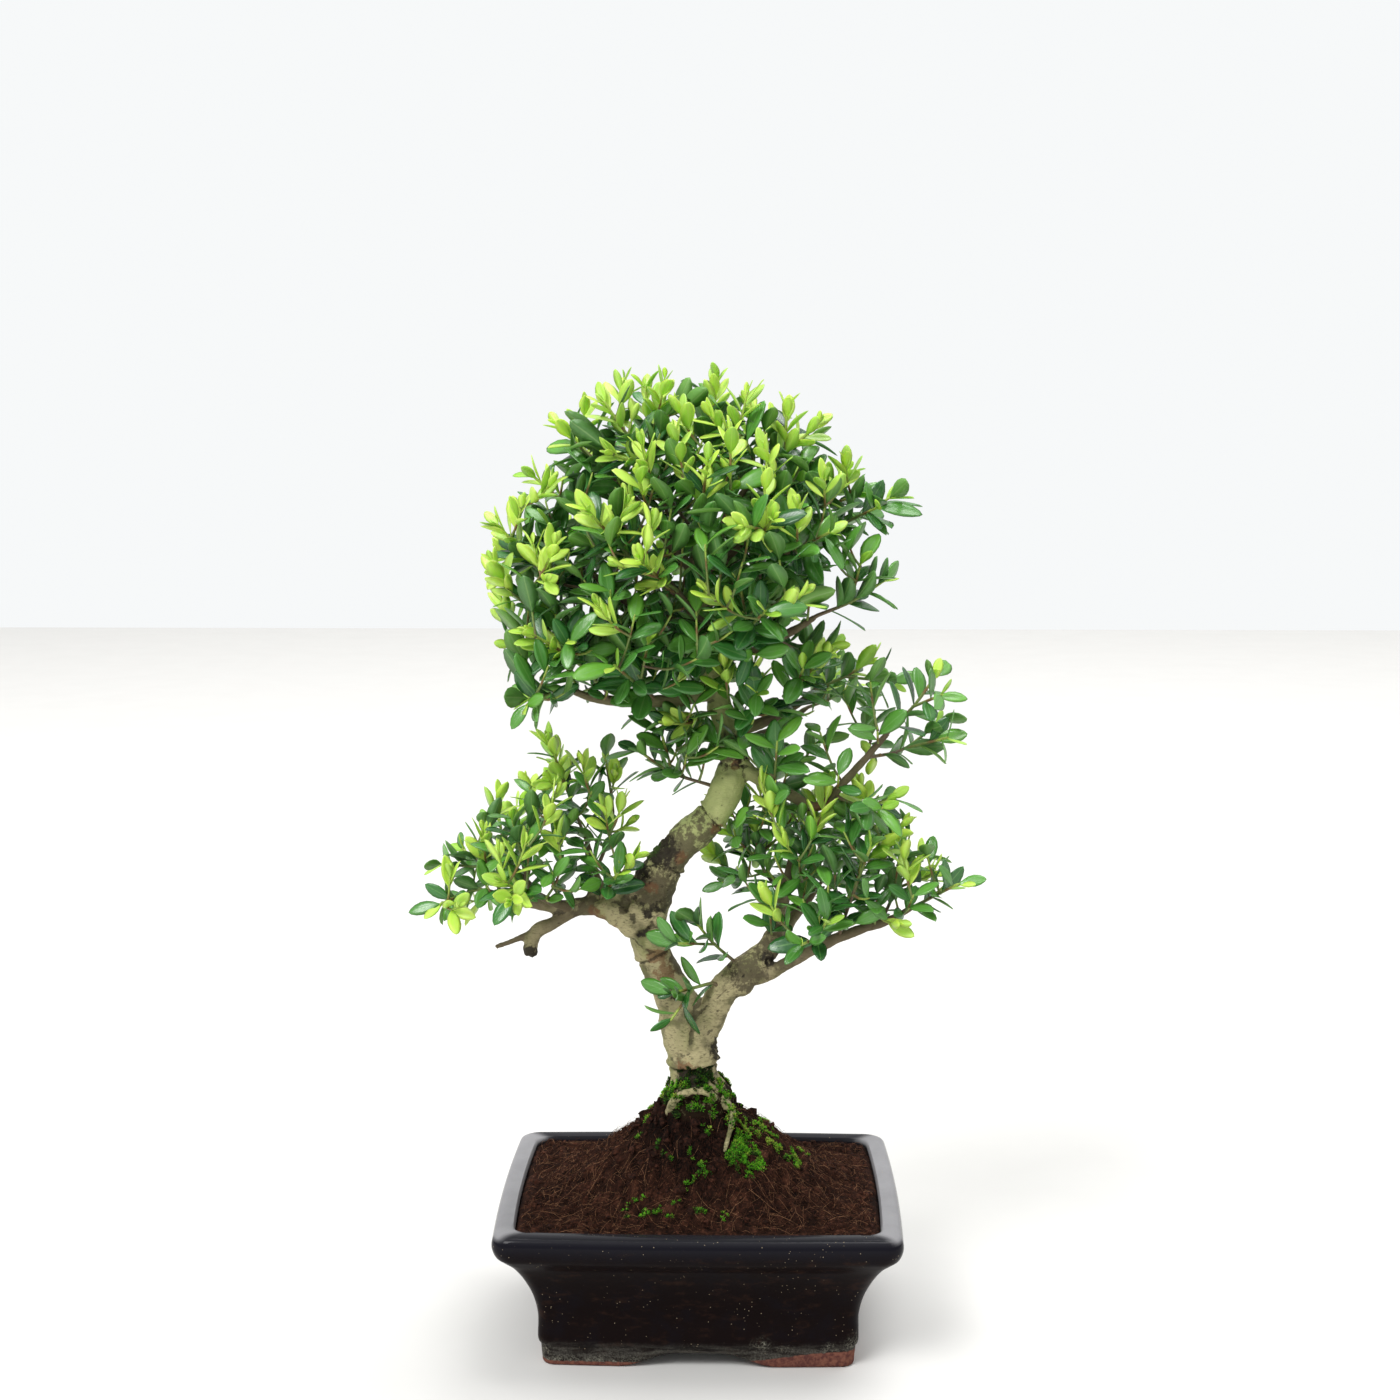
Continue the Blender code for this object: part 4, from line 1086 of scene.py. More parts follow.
@dataclass
class Wood:
    """The trunk, its surface roots and its branches, grown together in one body."""

    voxel: float = 1.0
    spacing: float = 2.0
    wander: float = 0.35
    swelling: float = 0.07
    finish: BarkFinish = field(default_factory=BarkFinish)
    knobs: tuple[Ball, ...] = (
        (-34, -5.5, 209, 6.4), (-41.5, -5, 214, 5.8), (-48, -3, 217, 5.6), (-52, 1, 222, 4.4),
        (-22, -4.5, 203, 8.0), (-27.5, -6, 214, 6.2), (-41, 2, 223, 5.0), (-30, 0, 226, 6.0),
        (-20, -1, 236, 7.6), (2, -2, 258, 7.8), (15, -2, 283, 7.4), (17, -1, 294, 6.6), (9, 1, 318, 5.6),
        (28, -4, 188, 7.2), (20, -3, 180, 7.4), (36, 0, 200, 5.6),
        (-43.5, -6.2, 216, 3.7), (-36, -6.8, 213, 3.9), (-29, -7.6, 210.5, 4.1), (-22.5, -9.2, 205, 3.9),
        (-31.5, -6.6, 218.5, 3.5), (-28, -8.2, 202.5, 3.4), (-20, -8.8, 213.5, 3.7),
        (-3, -2, 143, 11.8), (-3, 1, 351, 5.0), (62, -11, 272, 3.2), (-61, -1, 217, 4.6),
    )
    ring_scars: tuple[tuple[float, float, float, float, float], ...] = (
        (-4, 0, 136.5, 0.1, 1.3), (-21, 2, 193, 0.5, 0.9), (6, 0, 263, -1.1, 1.6),
        (-16, 2, 239, -0.8, 1.1), (15, 0, 290, -0.1, 0.9), (12, -2, 176, 0.9, 0.7),
    )
    spots: dict[str, tuple[Ball, ...]] = field(default_factory=lambda: {
        # The dark patches between heights of about 225 and 262 on the middle of the trunk are partly the
        # bark's own crust and partly painted shade.
        "dark": (
            (-19, -4, 247, 14), (-27, 0, 236, 12), (8, 0, 262, 7), (-19, -9, 220, 5), (-84, -9, 195, 8),
            (-12, -9, 236, 6), (9, -6, 146, 9), (12, -3, 139, 9), (19, -5, 184, 8), (33, -5, 192, 7),
            (-4, -13, 130, 13), (18, -2, 292, 8), (-29, -10, 205, 3), (-12, -8, 174, 4),
            (-25.5, -11, 207, 4), (-25, -10, 216, 4),
        ),
        "rust": (
            (-42, -6, 209, 5), (-9, -7, 243, 6), (-21, -6, 195, 9), (-17, -7, 185, 9),
            (-6, -12, 137, 9), (17, -6, 290, 5), (-36, -5, 210, 6), (-24, -5, 228, 6), (9, -7, 258, 5),
            (-50, -5, 214, 8), (60, -12, 271, 7),
        ),
        # The large brown patches between heights of about 225 and 262 on the middle of the trunk are
        # partly the bark's own colour and partly painted shade.
        "brown": (
            (-38, -8, 217, 4), (-12, -4, 246, 22), (-22, -2, 226, 20), (-12, -6, 210, 9),
            (-34, 4, 226, 9), (2, -2, 258, 14), (15, -2, 296, 14), (24, -4, 185, 17), (39, -2, 197, 20),
            (-56, 0, 217, 14), (-13, 2, 188, 11),
        ),
        "moss": (
            (-23, 2, 246, 9), (-9, -12, 127, 5), (15, -6, 125, 6), (8, 3, 268, 6), (22, 3, 190, 7),
            (-14, 8, 126, 10),
        ),
    })
    root_settling: dict[str, tuple[float, float]] = field(default_factory=lambda: {
        "left_root": (3.0, 0.75), "right_root": (3.6, 0.7), "back_root": (3.0, 0.75),
        "front_root": (1.6, 0.56), "arched_root": (0.6, 0.86),
    })
    bare_roots: tuple[str, ...] = ("arched_root", "front_root")
    blunt_root: WoodPath = (
        (-15, -9, 114, 3.2), (-13.5, -15, 121, 2.5), (-9, -18, 126.4, 2.4), (-3.5, -18.8, 128.8, 2.4),
        (2, -18.8, 128.8, 2.4), (6.3, -18.6, 126.8, 2.3), (8.4, -18, 124.2, 2.1),
    )
    thin_root: WoodPath = (
        (8, -6, 120, 6.5), (15.5, -12, 119.5, 3.6), (16.3, -18, 115, 3), (14.3, -24, 107.5, 2.6),
        (11.3, -29, 100, 2.5), (9.5, -33, 92, 2.3),
    )
    waist: tuple[float, float, float] = (135.0, 13.0, 0.11)
    cut_stub: WoodPath = (
        (-60, -2, 217, 3.2), (-72, -5, 210, 3.2), (-80, -7, 207, 3.7), (-83, -8, 201, 3.7),
        (-84, -8, 194.5, 3.6),
    )
    earth_height: tuple[float, float] = (131.0, 123.0)
    young_radius: tuple[float, float] = (4.8, 2.4)
    on_bare: dict[str, float] = field(default_factory=lambda: {"brown": 0.4, "moss": 0.22})
    # How deep below the skin round it the bark must lie for the painted crease shade to start and to be
    # full.
    crease_shade_depth: tuple[float, float] = (0.05, 0.27)
    sides: int = 20
    knob_unevenness: float = 0.16
    scar_reach: float = 17.0
    smoothing_rounds: int = 14
    tree: BVHTree | None = None

    def paths(self) -> dict[str, WoodPath]:
        """Lists every part of the wood.

        Returns:
            The parts' paths by name.
        """
        changed = {"arched_root": self.blunt_root, "front_root": self.thin_root,
                   "left_stub": self.cut_stub}
        return {"stem": STEM, **ROOTS, **BRANCHES, **changed}

    def bodies(self) -> Skin:
        """Makes every root, branch and knob as a body of its own.

        Returns:
            The bodies, with the wood's radius at each point.
        """
        skin = Skin()
        for number, (name, path) in enumerate(self.paths().items()):
            curve = smooth_path(np.array(path, float), self.spacing)
            sink, share = self.root_settling.get(name, (0.0, 1.0))
            curve[:, 2] -= sink
            if name == "stem":
                middle, reach, drawn_in = self.waist
                share = 1 - drawn_in * np.exp(-((curve[:, 2] - middle) / reach) ** 2)
            curve[:, 3] *= share
            seed = 7.3 * number
            for axis in range(3):
                curve[2:-2, axis] += self.wander * noise_at(curve[2:-2, :3], 9.0, seed + axis)
            curve[:, 3] *= 1 + self.swelling * noise_at(curve[:, :3], 6.0, seed + 5)
            skin.add(sweep(curve, self.sides))
        ball = round_body(3)
        for number, (x, y, z, radius) in enumerate(self.knobs):
            uneven = 1 + self.knob_unevenness * noise_at(ball.points, 0.9, 3.1 * number)
            shaped = ball.points * uneven[:, None] * radius + (x, y, z)
            skin.add(Form(shaped, ball.triangles))
        return skin

    def relief(self, points: np.ndarray) -> np.ndarray:
        """Works out the lumps, ring scars and creases of the bark.

        Args:
            points: The wood's points.

        Returns:
            How far each is raised, in millimetres.
        """
        raised = 0.75 * noise_at(points, 7.0) + 0.34 * noise_at(points * (1, 1, 1.6), 2.6, 11.0)
        for x, y, z, slope, depth in self.ring_scars:
            away = points - (x, y, z)
            level = away[:, 2] - slope * away[:, 0] + 0.8 * noise_at(points, 5.0, 20.0)
            near = np.linalg.norm(away, axis=1) < self.scar_reach
            lip = 0.8 * np.exp(-((level - 1.9) / 1.3) ** 2)
            raised += near * depth * (lip - np.exp(-(level / 0.9) ** 2))
        across, behind, up = (points - (-3.2, -12.0, 159.0)).T
        slant = across - 0.12 * up
        crease = np.exp(-(slant / 1.5) ** 2 - (behind / 8.0) ** 2 - (up / 8.5) ** 2)
        rough = self.strength(points, "dark")
        return raised - 2.8 * crease + rough * 2.2 * noise_at(points, 2.1, 31.0)

    def strength(self, points: np.ndarray, value: str) -> np.ndarray:
        """Works out how strong a value of the bark is.

        Args:
            points: The wood's points.
            value: The value's name.

        Returns:
            Its strength at each point, from 0 to 1.
        """
        strong = np.zeros(len(points))
        for x, y, z, radius in self.spots[value]:
            away = np.linalg.norm(points - (x, y, z), axis=1)
            strong = np.maximum(strong, ease(-away, -radius, -0.3 * radius))
        return strong

    def nearest(self, points: np.ndarray) -> tuple[np.ndarray, np.ndarray]:
        """Finds the nearest part of the wood.

        Args:
            points: The wood's points.

        Returns:
            The radius of that part at each point, and whether it is a bare root.
        """
        curves = {
            name: smooth_path(np.array(path, float), 4.0)
            for name, path in self.paths().items()
        }
        rows = np.concatenate(list(curves.values()))
        bare = np.concatenate([
            np.full(len(curve), name in self.bare_roots) for name, curve in curves.items()
        ])
        found = np.empty(len(points), int)
        gaps = np.empty(len(points))
        for start in range(0, len(points), 4000):
            part = slice(start, start + 4000)
            away = points[part, None, :] - rows[None, :, :3]
            away = np.linalg.norm(away, axis=2) - rows[:, 3]
            found[part] = np.argmin(away, axis=1)
            gaps[part] = away.min(axis=1)
        return rows[found, 3], bare[found] & (gaps < 0.9)

    def hollow(self, points: np.ndarray, normals: np.ndarray, edges: np.ndarray) -> np.ndarray:
        """How far each point lies below the skin round it, in millimetres.

        Args:
            points: The points of the mesh.
            normals: The way the mesh faces at each.
            edges: Pairs of numbers of joined points.

        Returns:
            One value a point, above 0 in creases and below 0 on bumps.
        """
        starts, ends = np.concatenate([edges, edges[:, ::-1]]).T
        joined = np.bincount(starts, minlength=len(points))[:, None]
        smooth = points
        for _ in range(self.smoothing_rounds):
            sums = [np.bincount(starts, column[ends], len(points)) for column in smooth.T]
            smooth = np.stack(sums, axis=-1) / joined
        return ((smooth - points) * normals).sum(axis=1)

    def build(self) -> None:
        """Grows the bodies together and gives the bark its relief and its values."""
        trunk = self.bodies().build("holly_wood", [])
        grown = trunk.modifiers.new("grown", "REMESH")
        grown.mode = "VOXEL"
        grown.voxel_size = self.voxel * MM
        relaxed = trunk.modifiers.new("relaxed", "SMOOTH")
        relaxed.factor = 0.5
        relaxed.iterations = 5
        apply_modifiers(trunk)
        mesh = trunk.data
        points, normals = np.empty((2, len(mesh.vertices) * 3))
        mesh.vertices.foreach_get("co", points)
        mesh.vertices.foreach_get("normal", normals)
        points = points.reshape(-1, 3) / MM - MIDDLE
        normals = normals.reshape(-1, 3)
        thickness, bare = self.nearest(points)
        raised = self.relief(points) * np.clip(thickness / 7.0, 0.25, 1.0)
        points += raised[:, None] * normals
        mesh.vertices.foreach_set("co", ((points + MIDDLE) * MM).ravel())
        high, low = self.earth_height
        thick, thin = self.young_radius
        edges = np.array([edge.vertices[:] for edge in mesh.edges])
        values = {name: self.strength(points, name) for name in self.spots}
        values["earth"] = ease(-points[:, 2], -high, -low)
        values["young"] = ease(-thickness, -thick, -thin)
        # Painted shade: the crease value darkens the bark in its hollows.
        values["crease"] = ease(self.hollow(points, normals, edges), *self.crease_shade_depth)
        for name, value in values.items():
            value = np.where(bare, self.on_bare.get(name, 0.0), value).astype(np.float32)
            mesh.attributes.new(name, "FLOAT", "POINT").data.foreach_set("value", value)
        mesh.materials.append(self.finish.material())
        mesh.shade_smooth()
        mesh.update()
        self.tree = search_tree(mesh, points.tolist())
        hand_over(trunk, Slot.BARK, "trunk")


# Soil


@dataclass
class Soil:
    """The mounded substrate, its loose strands and its crumbs."""

    pot: Pot
    edge_height: float = 70.2
    edge_inset: float = 10.85
    side_gap: float = 0.45
    mound: tuple[float, float, float] = (44.3, 92.0, 68.0)
    ball: tuple[float, float, float, float] = (8.0, 34.0, -2.0, -4.0)
    lump: tuple[float, float] = (1.5, 15.0)
    root_cover: tuple[float, float, float, float] = (11.5, -32.0, 6.0, 2.6)
    dome_rings: int = 70
    heaped: float = 1.4
    strands: int = 8200
    crumbs: int = 1800
    clods: int = 130
    strewn: tuple[float, float] = (88.0, 63.0)
    walls: tuple[tuple[float, float], ...] = (
        (14.3, 29.5), (16.0, 27.5), (36.0, 25.5), (50.0, 19.5), (62.0, 12.0),
    )
    wall_steps: tuple[int, int] = (110, 80)
    chips: tuple[Place, ...] = (
        (-21, -6, 3.4), (-25, -9, 2.6), (-18, -9, 2.8), (-31, -4, 2.2), (26, 4, 2.4), (33, 1, 2.0),
        (-3, -52, 1.9), (-41, -14, 2.0), (-14, -12, 2.6), (-27, -1, 2.4),
    )
    ground: SubstrateFinish = SubstrateFinish(
        "damp_substrate", (0.0025, 0.0015, 0.001), (0.022, 0.0085, 0.005), (0.085, 0.032, 0.018))
    strand: SubstrateFinish = SubstrateFinish(
        "plant_fibre", (0.014, 0.006, 0.004), (0.088, 0.031, 0.018), (0.4, 0.21, 0.11), 0.8)
    tree: BVHTree | None = None

    def height(self, x: float, y: float) -> float:
        """Works out the height of the soil in the solid model.

        Args:
            x: A place along the pot.
            y: The place across it.

        Returns:
            The height there.
        """
        rise, half_length, half_depth = self.mound
        away = min(1.0, math.hypot(x / half_length, y / half_depth))
        ball_rise, radius, ball_x, ball_y = self.ball
        from_ball = min(1.0, math.hypot(x - ball_x, y - ball_y) / radius)
        size, spread = self.lump
        lump = size * noise.noise(Vector((x, y, 0)) / spread)
        ball = ball_rise * math.cos(math.pi / 2 * from_ball) ** 2
        return self.edge_height + rise * math.cos(math.pi / 2 * away) ** 2 + ball + lump * (1 - away)

    def in_ball(self, points: np.ndarray) -> np.ndarray:
        """Works out how far each point belongs to the dark root ball.

        Args:
            points: The points.

        Returns:
            How far, from 0 to 1.
        """
        _, radius, x, y = self.ball
        away = np.hypot(points[:, 0] - x, (points[:, 1] - y) * 0.85)
        return ease(-away, -radius * 1.02, -radius * 0.66)

    def surface(self, plan: np.ndarray, inward: float) -> np.ndarray:
        """The rough top of the soil over points of the plan.

        Args:
            plan: The points' x and y.
            inward: How far in from the rim they lie, from 0 to 1.

        Returns:
            The points, with small lumps and crumbs.
        """
        flat = np.column_stack([plan, np.zeros(len(plan))])
        heights = np.array([self.height(x, y) for x, y in plan])
        rough = sum(
            size * noise_at(flat, spread, seed)
            for size, spread, seed in ((1.6, 9.0, 2.0), (1.9, 4.2, 9.0), (1.0, 2.0, 5.0))
        )
        ball = self.in_ball(flat)
        rough += ball * (3.0 * noise_at(flat, 4.6, 14.0) + 1.3 * noise_at(flat, 2.1, 23.0))
        x, y, reach, rise = self.root_cover
        rough += rise * np.exp(-((plan[:, 0] - x) ** 2 + (plan[:, 1] - y) ** 2) / reach ** 2)
        heaped = self.heaped * (1 - math.exp(-90 * inward))
        return np.column_stack([plan, heights + heaped + rough * min(1.0, 0.25 + 8 * inward)])

    def build_ground(self) -> None:
        """Makes the body of the soil, from the pot's floor to the mound."""
        rings = []
        for height, inset in self.walls:
            plan = self.pot.plan(inset + self.side_gap, *self.wall_steps)
            rings.append(np.column_stack([plan, np.full(len(plan), height)]))
        edge = self.pot.plan(self.edge_inset, *self.wall_steps)
        for number in range(self.dome_rings):
            inward = (number / self.dome_rings) ** 0.9
            rings.append(self.surface(edge * (1 - inward), inward))
        form = loft(np.array(rings), (0, 0, self.walls[0][0]), (0, 0, 118.0))
        ball = self.in_ball(form.points)
        hollow = noise_at(form.points * (1, 1, 0), 4.2, 9.0)
        tone = 0.5 + 0.3 * noise_at(form.points, 12.0, 4.0) + 0.5 * hollow - 0.42 * ball
        skin = Skin()
        skin.add(form, tone=np.clip(tone, 0.02, 1))
        ground = skin.build("soil_ground", [self.ground.material()])
        self.tree = search_tree(ground.data, form.points.tolist())
        hand_over(ground, Slot.SUBSTRATE, "soil")

    def lies_in_pot(self, x: float, y: float, margin: float) -> bool:
        """Tells whether a place on the soil is clear of the rim.

        Args:
            x: The place along the pot.
            y: The place across it.
            margin: How clear it has to be.

        Returns:
            Whether it is.
        """
        rim = self.pot.bow + self.edge_inset + margin
        past_x = abs(x) - self.pot.half_length + rim
        past_y = abs(y) - self.pot.half_depth + rim
        corner = math.hypot(max(0.0, past_x + 7), max(0.0, past_y + 7))
        return past_x <= 0 and past_y <= 0 and corner <= 7

    def top(self, x: float, y: float) -> Vector:
        """The place on the ground at x and y."""
        return self.tree.ray_cast(Vector((x, y, 160)), -UP)[0]

    def somewhere(self, draw: random.Random) -> tuple[float, float]:
        """A drawn place over the soil."""
        x, y = self.strewn
        return draw.uniform(-x, x), draw.uniform(-y, y)

    def strand_path(self, draw: random.Random) -> np.ndarray | None:
        """One strand that lies on the ground in a loose curve.

        Args:
            draw: The random numbers.

        Returns:
            Rows of x, y, z and radius, or nothing where the strand leaves the pot.
        """
        x, y = self.somewhere(draw)
        heading = draw.uniform(0, 2 * math.pi)
        length = 4 + 15 * draw.random() ** 2
        bend = draw.gauss(0, 0.22)
        arch = draw.random() ** 4 * 3.4 + 0.2
        radius = draw.uniform(0.06, 0.13)
        rows = []
        for step in range(4):
            if not self.lies_in_pot(x, y, 0.6):
                return None
            lift = radius + arch * math.sin(math.pi * (step + 0.4) / 3.8)
            rows.append((x, y, self.top(x, y).z + lift, radius * (1 - 0.14 * step)))
            x += length / 3 * math.cos(heading)
            y += length / 3 * math.sin(heading)
            heading += bend
        return np.array(rows)

    def build_strands(self) -> None:
        """Strews loose strands over the ground, darker on the root ball."""
        draw = random.Random("strands")
        skin = Skin()
        for _ in range(self.strands):
            path = self.strand_path(draw)
            tone = draw.random()
            if path is None:
                continue
            ball = float(self.in_ball(path[2:3, :3])[0])
            tone = (0.08 + 0.84 * tone ** 2.6) * (1 - 0.75 * ball * (tone < 0.93))
            skin.add(sweep(path, 3, 0.6), tone=tone)
        hand_over(skin.build("soil_strands", [self.strand.material()]), Slot.SUBSTRATE)

    def build_crumbs(self) -> None:
        """Strews crumbs over the ground, and clods over the root ball."""
        draw = random.Random("crumbs")
        lump, grain = round_body(2), round_body(1)
        skin = Skin()
        clods = self.clods + len(self.chips)
        for number in range(self.crumbs + clods):
            if number < len(self.chips):
                x, y, size = self.chips[number]
            elif number < clods:
                angle, reach = draw.uniform(0, 2 * math.pi), draw.uniform(12, 42)
                x, y = reach * math.cos(angle) - 2, reach * math.sin(angle) - 4
                size = 0.9 + 1.5 * draw.random() ** 2
            else:
                x, y = self.somewhere(draw)
                size = 0.35 + 1.1 * draw.random() ** 4
            if not self.lies_in_pot(x, y, size):
                continue
            body = lump if number < clods else grain
            stretch = np.array([draw.uniform(0.55, 1.5) for _ in range(3)])
            uneven = 1 + 0.9 * noise_at(body.points, 0.5, 5.0 * number)
            points = body.points * stretch * uneven[:, None] * size + np.array(self.top(x, y))
            points[:, 2] += 0.25 * size
            tone = 0.02 + 0.36 * draw.random() ** 2
            dim = 1 - 0.6 * float(self.in_ball(points[:1])[0])
            skin.add(Form(points, body.triangles), tone=tone * dim)
        crumbs = skin.build("soil_crumbs", [self.strand.material()])
        crumbs.data.shade_flat()
        hand_over(crumbs, Slot.SUBSTRATE)


# Moss


MOSS_BLADE_FACES = np.array(((0, 2, 1), (0, 3, 2), (0, 1, 3), (4, 1, 2), (4, 2, 3), (4, 3, 1)))
MOSS_BLADE_SHARES = np.array((0, 0.5, 0.5, 0.6, 1.0))


@dataclass
class Moss:
    """Cushion moss on the root base and in patches on the soil."""

    patches: tuple[tuple[float, float, float, int, float], ...] = (
        (3, -13, 4.0, 60, 0.35), (-5, -10, 3.5, 40, 0.4), (4, -19, 2.2, 20, 0.4),
        (-12, -12, 2.2, 14, 0.6), (-19, -3, 2.6, 16, 0.8), (-26, -6, 2.0, 14, 0.6),
        (-20, -22, 1.7, 16, 0.3), (-30, -11, 1.7, 10, 0.3), (4, -22, 1.4, 9, 0.4),
        (-4, -29, 1.8, 12, 0.4), (-17, -27, 1.0, 4, 0.3), (-14, -30, 1.2, 6, 0.6),
        (2, -34, 2.4, 24, 0.45), (-2, -37, 1.6, 7, 0.4), (-6, -40, 1.6, 5, 0.4),
        (-30, -42, 2.4, 8, 0.5), (1, -49, 2.2, 16, 0.5), (-34, -48, 3.4, 9, 0.4),
        (-26, -49, 3.4, 10, 0.5), (-19, -49, 3.4, 12, 0.5), (-12, -51, 3.6, 9, 0.5),
        (13, -52, 1.8, 8, 0.5), (20, -12, 5.4, 70, 0.7), (20, -20, 5.6, 150, 0.4),
        (18, -27, 5.2, 160, 0.4), (25, -23, 5.2, 100, 0.4), (28, -27, 3.6, 55, 0.5),
        (-16, -9, 2.6, 26, 0.1),
        (27, -12, 6.5, 46, 0.85), (37, -9, 6.5, 50, 0.8), (48, -11, 5.4, 70, 0.6),
        (52, -1, 2.0, 20, 0.4), (33, 6, 5.0, 60, 0.7), (16, 12, 7.0, 90, 0.6),
        (-10, 16, 6.0, 80, 0.5), (2, 27, 5.0, 60, 0.5), (-24, 8, 4.0, 30, 0.6),
    )
    bark_bands: tuple[tuple[float, float, float, float, int, float], ...] = (
        (200, 245, 120, 130, 80, 0.5), (224, 308, 129, 138, 200, -0.25),
        (316, 352, 119, 131, 60, 0.5), (10, 90, 114, 130, 110, 0.35), (262, 294, 117, 127, 44, 0.5),
        (90, 200, 114, 129, 110, 0.3), (225, 300, 112, 122, 20, 0.1),
    )
    blade_count: int = 6
    finish: MossFinish = field(default_factory=MossFinish)

    def tuft(
        self, place: Vector, facing: Vector, lift: float, draw: random.Random, skin: Skin, tone: float,
    ) -> None:
        """Adds one shoot of moss: pointed blades spread from a point.

        Args:
            place: Where it grows.
            facing: The way the ground faces there.
            lift: How far above the ground the blades spread.
            draw: The random numbers.
            skin: The piece it is added to.
            tone: 0 for green to 1 for yellow.
        """
        upward = (facing + 0.6 * UP).normalized()
        size = draw.uniform(1.0, 2.2)
        turn = draw.uniform(0, 360)
        crown = place + lift * upward
        for number in range(self.blade_count):
            lean = math.radians(draw.uniform(20, 75) if number else 5)
            turned = Matrix.Rotation(math.radians(turn + GOLDEN_ANGLE * number), 3, upward)
            outward = turned @ square_to(upward)
            along = math.cos(lean) * upward + math.sin(lean) * outward
            side = 0.2 * size * along.cross(outward).normalized()
            ridge = 0.12 * size * outward
            root = place - 0.3 * upward
            tip = crown + size * along
            middle = crown + 0.4 * size * along
            points = np.array([root, middle - side, middle + side, middle + ridge, tip])
            skin.add(Form(points, MOSS_BLADE_FACES), along=MOSS_BLADE_SHARES, tone=tone)

    def cushion(
        self, start: Vector, down: Vector, trees: tuple[BVHTree, BVHTree], count: int, tone: float,
        draw: random.Random, skin: Skin,
    ) -> None:
        """Adds a small domed cushion of shoots.

        Args:
            start: A place above its middle.
            down: The way from there to the ground.
            trees: The search trees of the ground and the wood.
            count: How many shoots it has.
            tone: 0 for green to 1 for yellow.
            draw: The random numbers.
            skin: The piece it is added to.
        """
        radius = 0.5 * math.sqrt(count) * draw.uniform(0.8, 1.3)
        shade = draw.gauss(0, 0.2)
        for _ in range(count):
            share, turn = math.sqrt(draw.random()), draw.uniform(0, 360)
            place = start + radius * share * around(down, turn)
            hits = [hit for hit in (tree.ray_cast(place, down) for tree in trees) if hit[0]]
            if not hits:
                continue
            ground, facing, _, _ = min(hits, key=lambda hit: hit[3])
            lift = 0.45 * radius * (1 - share ** 2)
            spread = (facing + 0.5 * share * around(down, turn)).normalized()
            shoot_tone = min(1.0, max(0.0, tone + shade + draw.gauss(0, 0.16)))
            self.tuft(ground, spread, lift, draw, skin, shoot_tone)

    def build(self, soil: Soil, wood: Wood) -> None:
        """Plants every patch and band.

        Args:
            soil: The built soil.
            wood: The built wood.
        """
        draw = random.Random("moss")
        skin = Skin()
        trees = (soil.tree, wood.tree)
        for x, y, spread, count, tone in self.patches:
            left = count
            while left > 0:
                size = min(left, max(1, round(math.sqrt(count) * draw.uniform(0.4, 1.1))))
                left -= size
                start = Vector((x + draw.gauss(0, spread / 2), y + draw.gauss(0, spread / 2), 133))
                self.cushion(start, -UP, trees, size, tone, draw, skin)
        for low_angle, high_angle, low, high, count, tone in self.bark_bands:
            left = count
            while left > 0:
                size = min(left, draw.randint(1, 6))
                left -= size
                angle = math.radians(draw.uniform(low_angle, high_angle))
                outward = Vector((math.cos(angle), math.sin(angle), 0))
                start = 45 * outward + draw.uniform(low, high) * UP
                self.cushion(start, -outward, trees, size, tone, draw, skin)
        hand_over(skin.build("moss_cushions", [self.finish.material()]), Slot.FOLIAGE)


# Places along stems


def square_to(direction: Vector) -> Vector:
    """Finds a direction square to this one, level where that is possible.

    Args:
        direction: The direction.

    Returns:
        The one square to it.
    """
    level = direction.cross(UP)
    if level.length < 0.1:
        level = direction.cross(Vector((0, 1, 0)))
    return level.normalized()


def around(direction: Vector, angle: float) -> Vector:
    """A direction square to this one, turned round it by the angle in degrees."""
    return Matrix.Rotation(math.radians(angle), 3, direction) @ square_to(direction)


def path_length(points: list[Vector]) -> float:
    """The length of a line through the points."""
    return sum((end - start).length for start, end in zip(points, points[1:]))


def along_path(path: Any, share: float) -> tuple[Vector, Vector]:
    """Goes along a path.

    Args:
        path: Its points, with a radius or none after them.
        share: How far, as a share of its length.

    Returns:
        The place there, and the path's direction.
    """
    points = [Vector(point[:3]) for point in path]
    left = share * path_length(points)
    for start, end in zip(points, points[1:]):
        step = (end - start).length
        if left <= step or end is points[-1]:
            return start.lerp(end, min(1.0, left / step)), (end - start).normalized()
        left -= step
    raise ValueError("a path needs two points")


def node_tree(name: str) -> BVHTree:
    """The search tree of a node of the solid model, in millimetres from the pot's middle."""
    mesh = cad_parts[name].data
    return search_tree(mesh, [vertex.co / MM - POT_MIDDLE for vertex in mesh.vertices])


def coarse_tree(path: list[tuple[float, ...]], extra: float = 0.0) -> BVHTree:
    """Draws the four-sided stem that the solid model has on a path.

    Args:
        path: Its points, each with a radius.
        extra: How much thicker it is made.

    Returns:
        The stem's search tree.
    """
    curve = bpy.data.curves.new("stem_guide", "CURVE")
    curve.dimensions = "3D"
    curve.bevel_depth = MM
    curve.bevel_resolution = 0
    curve.use_fill_caps = True
    spline = curve.splines.new("POLY")
    spline.points.add(len(path) - 1)
    for knot, (x, y, z, radius) in zip(spline.points, path):
        knot.co = (x * MM, y * MM, z * MM, 1)
        knot.radius = radius + extra
    guide = bpy.data.objects.new("stem_guide", curve)
    mesh = bpy.data.meshes.new_from_object(guide)
    tree = search_tree(mesh, [vertex.co / MM for vertex in mesh.vertices])
    bpy.data.objects.remove(guide)
    bpy.data.curves.remove(curve)
    bpy.data.meshes.remove(mesh)
    return tree


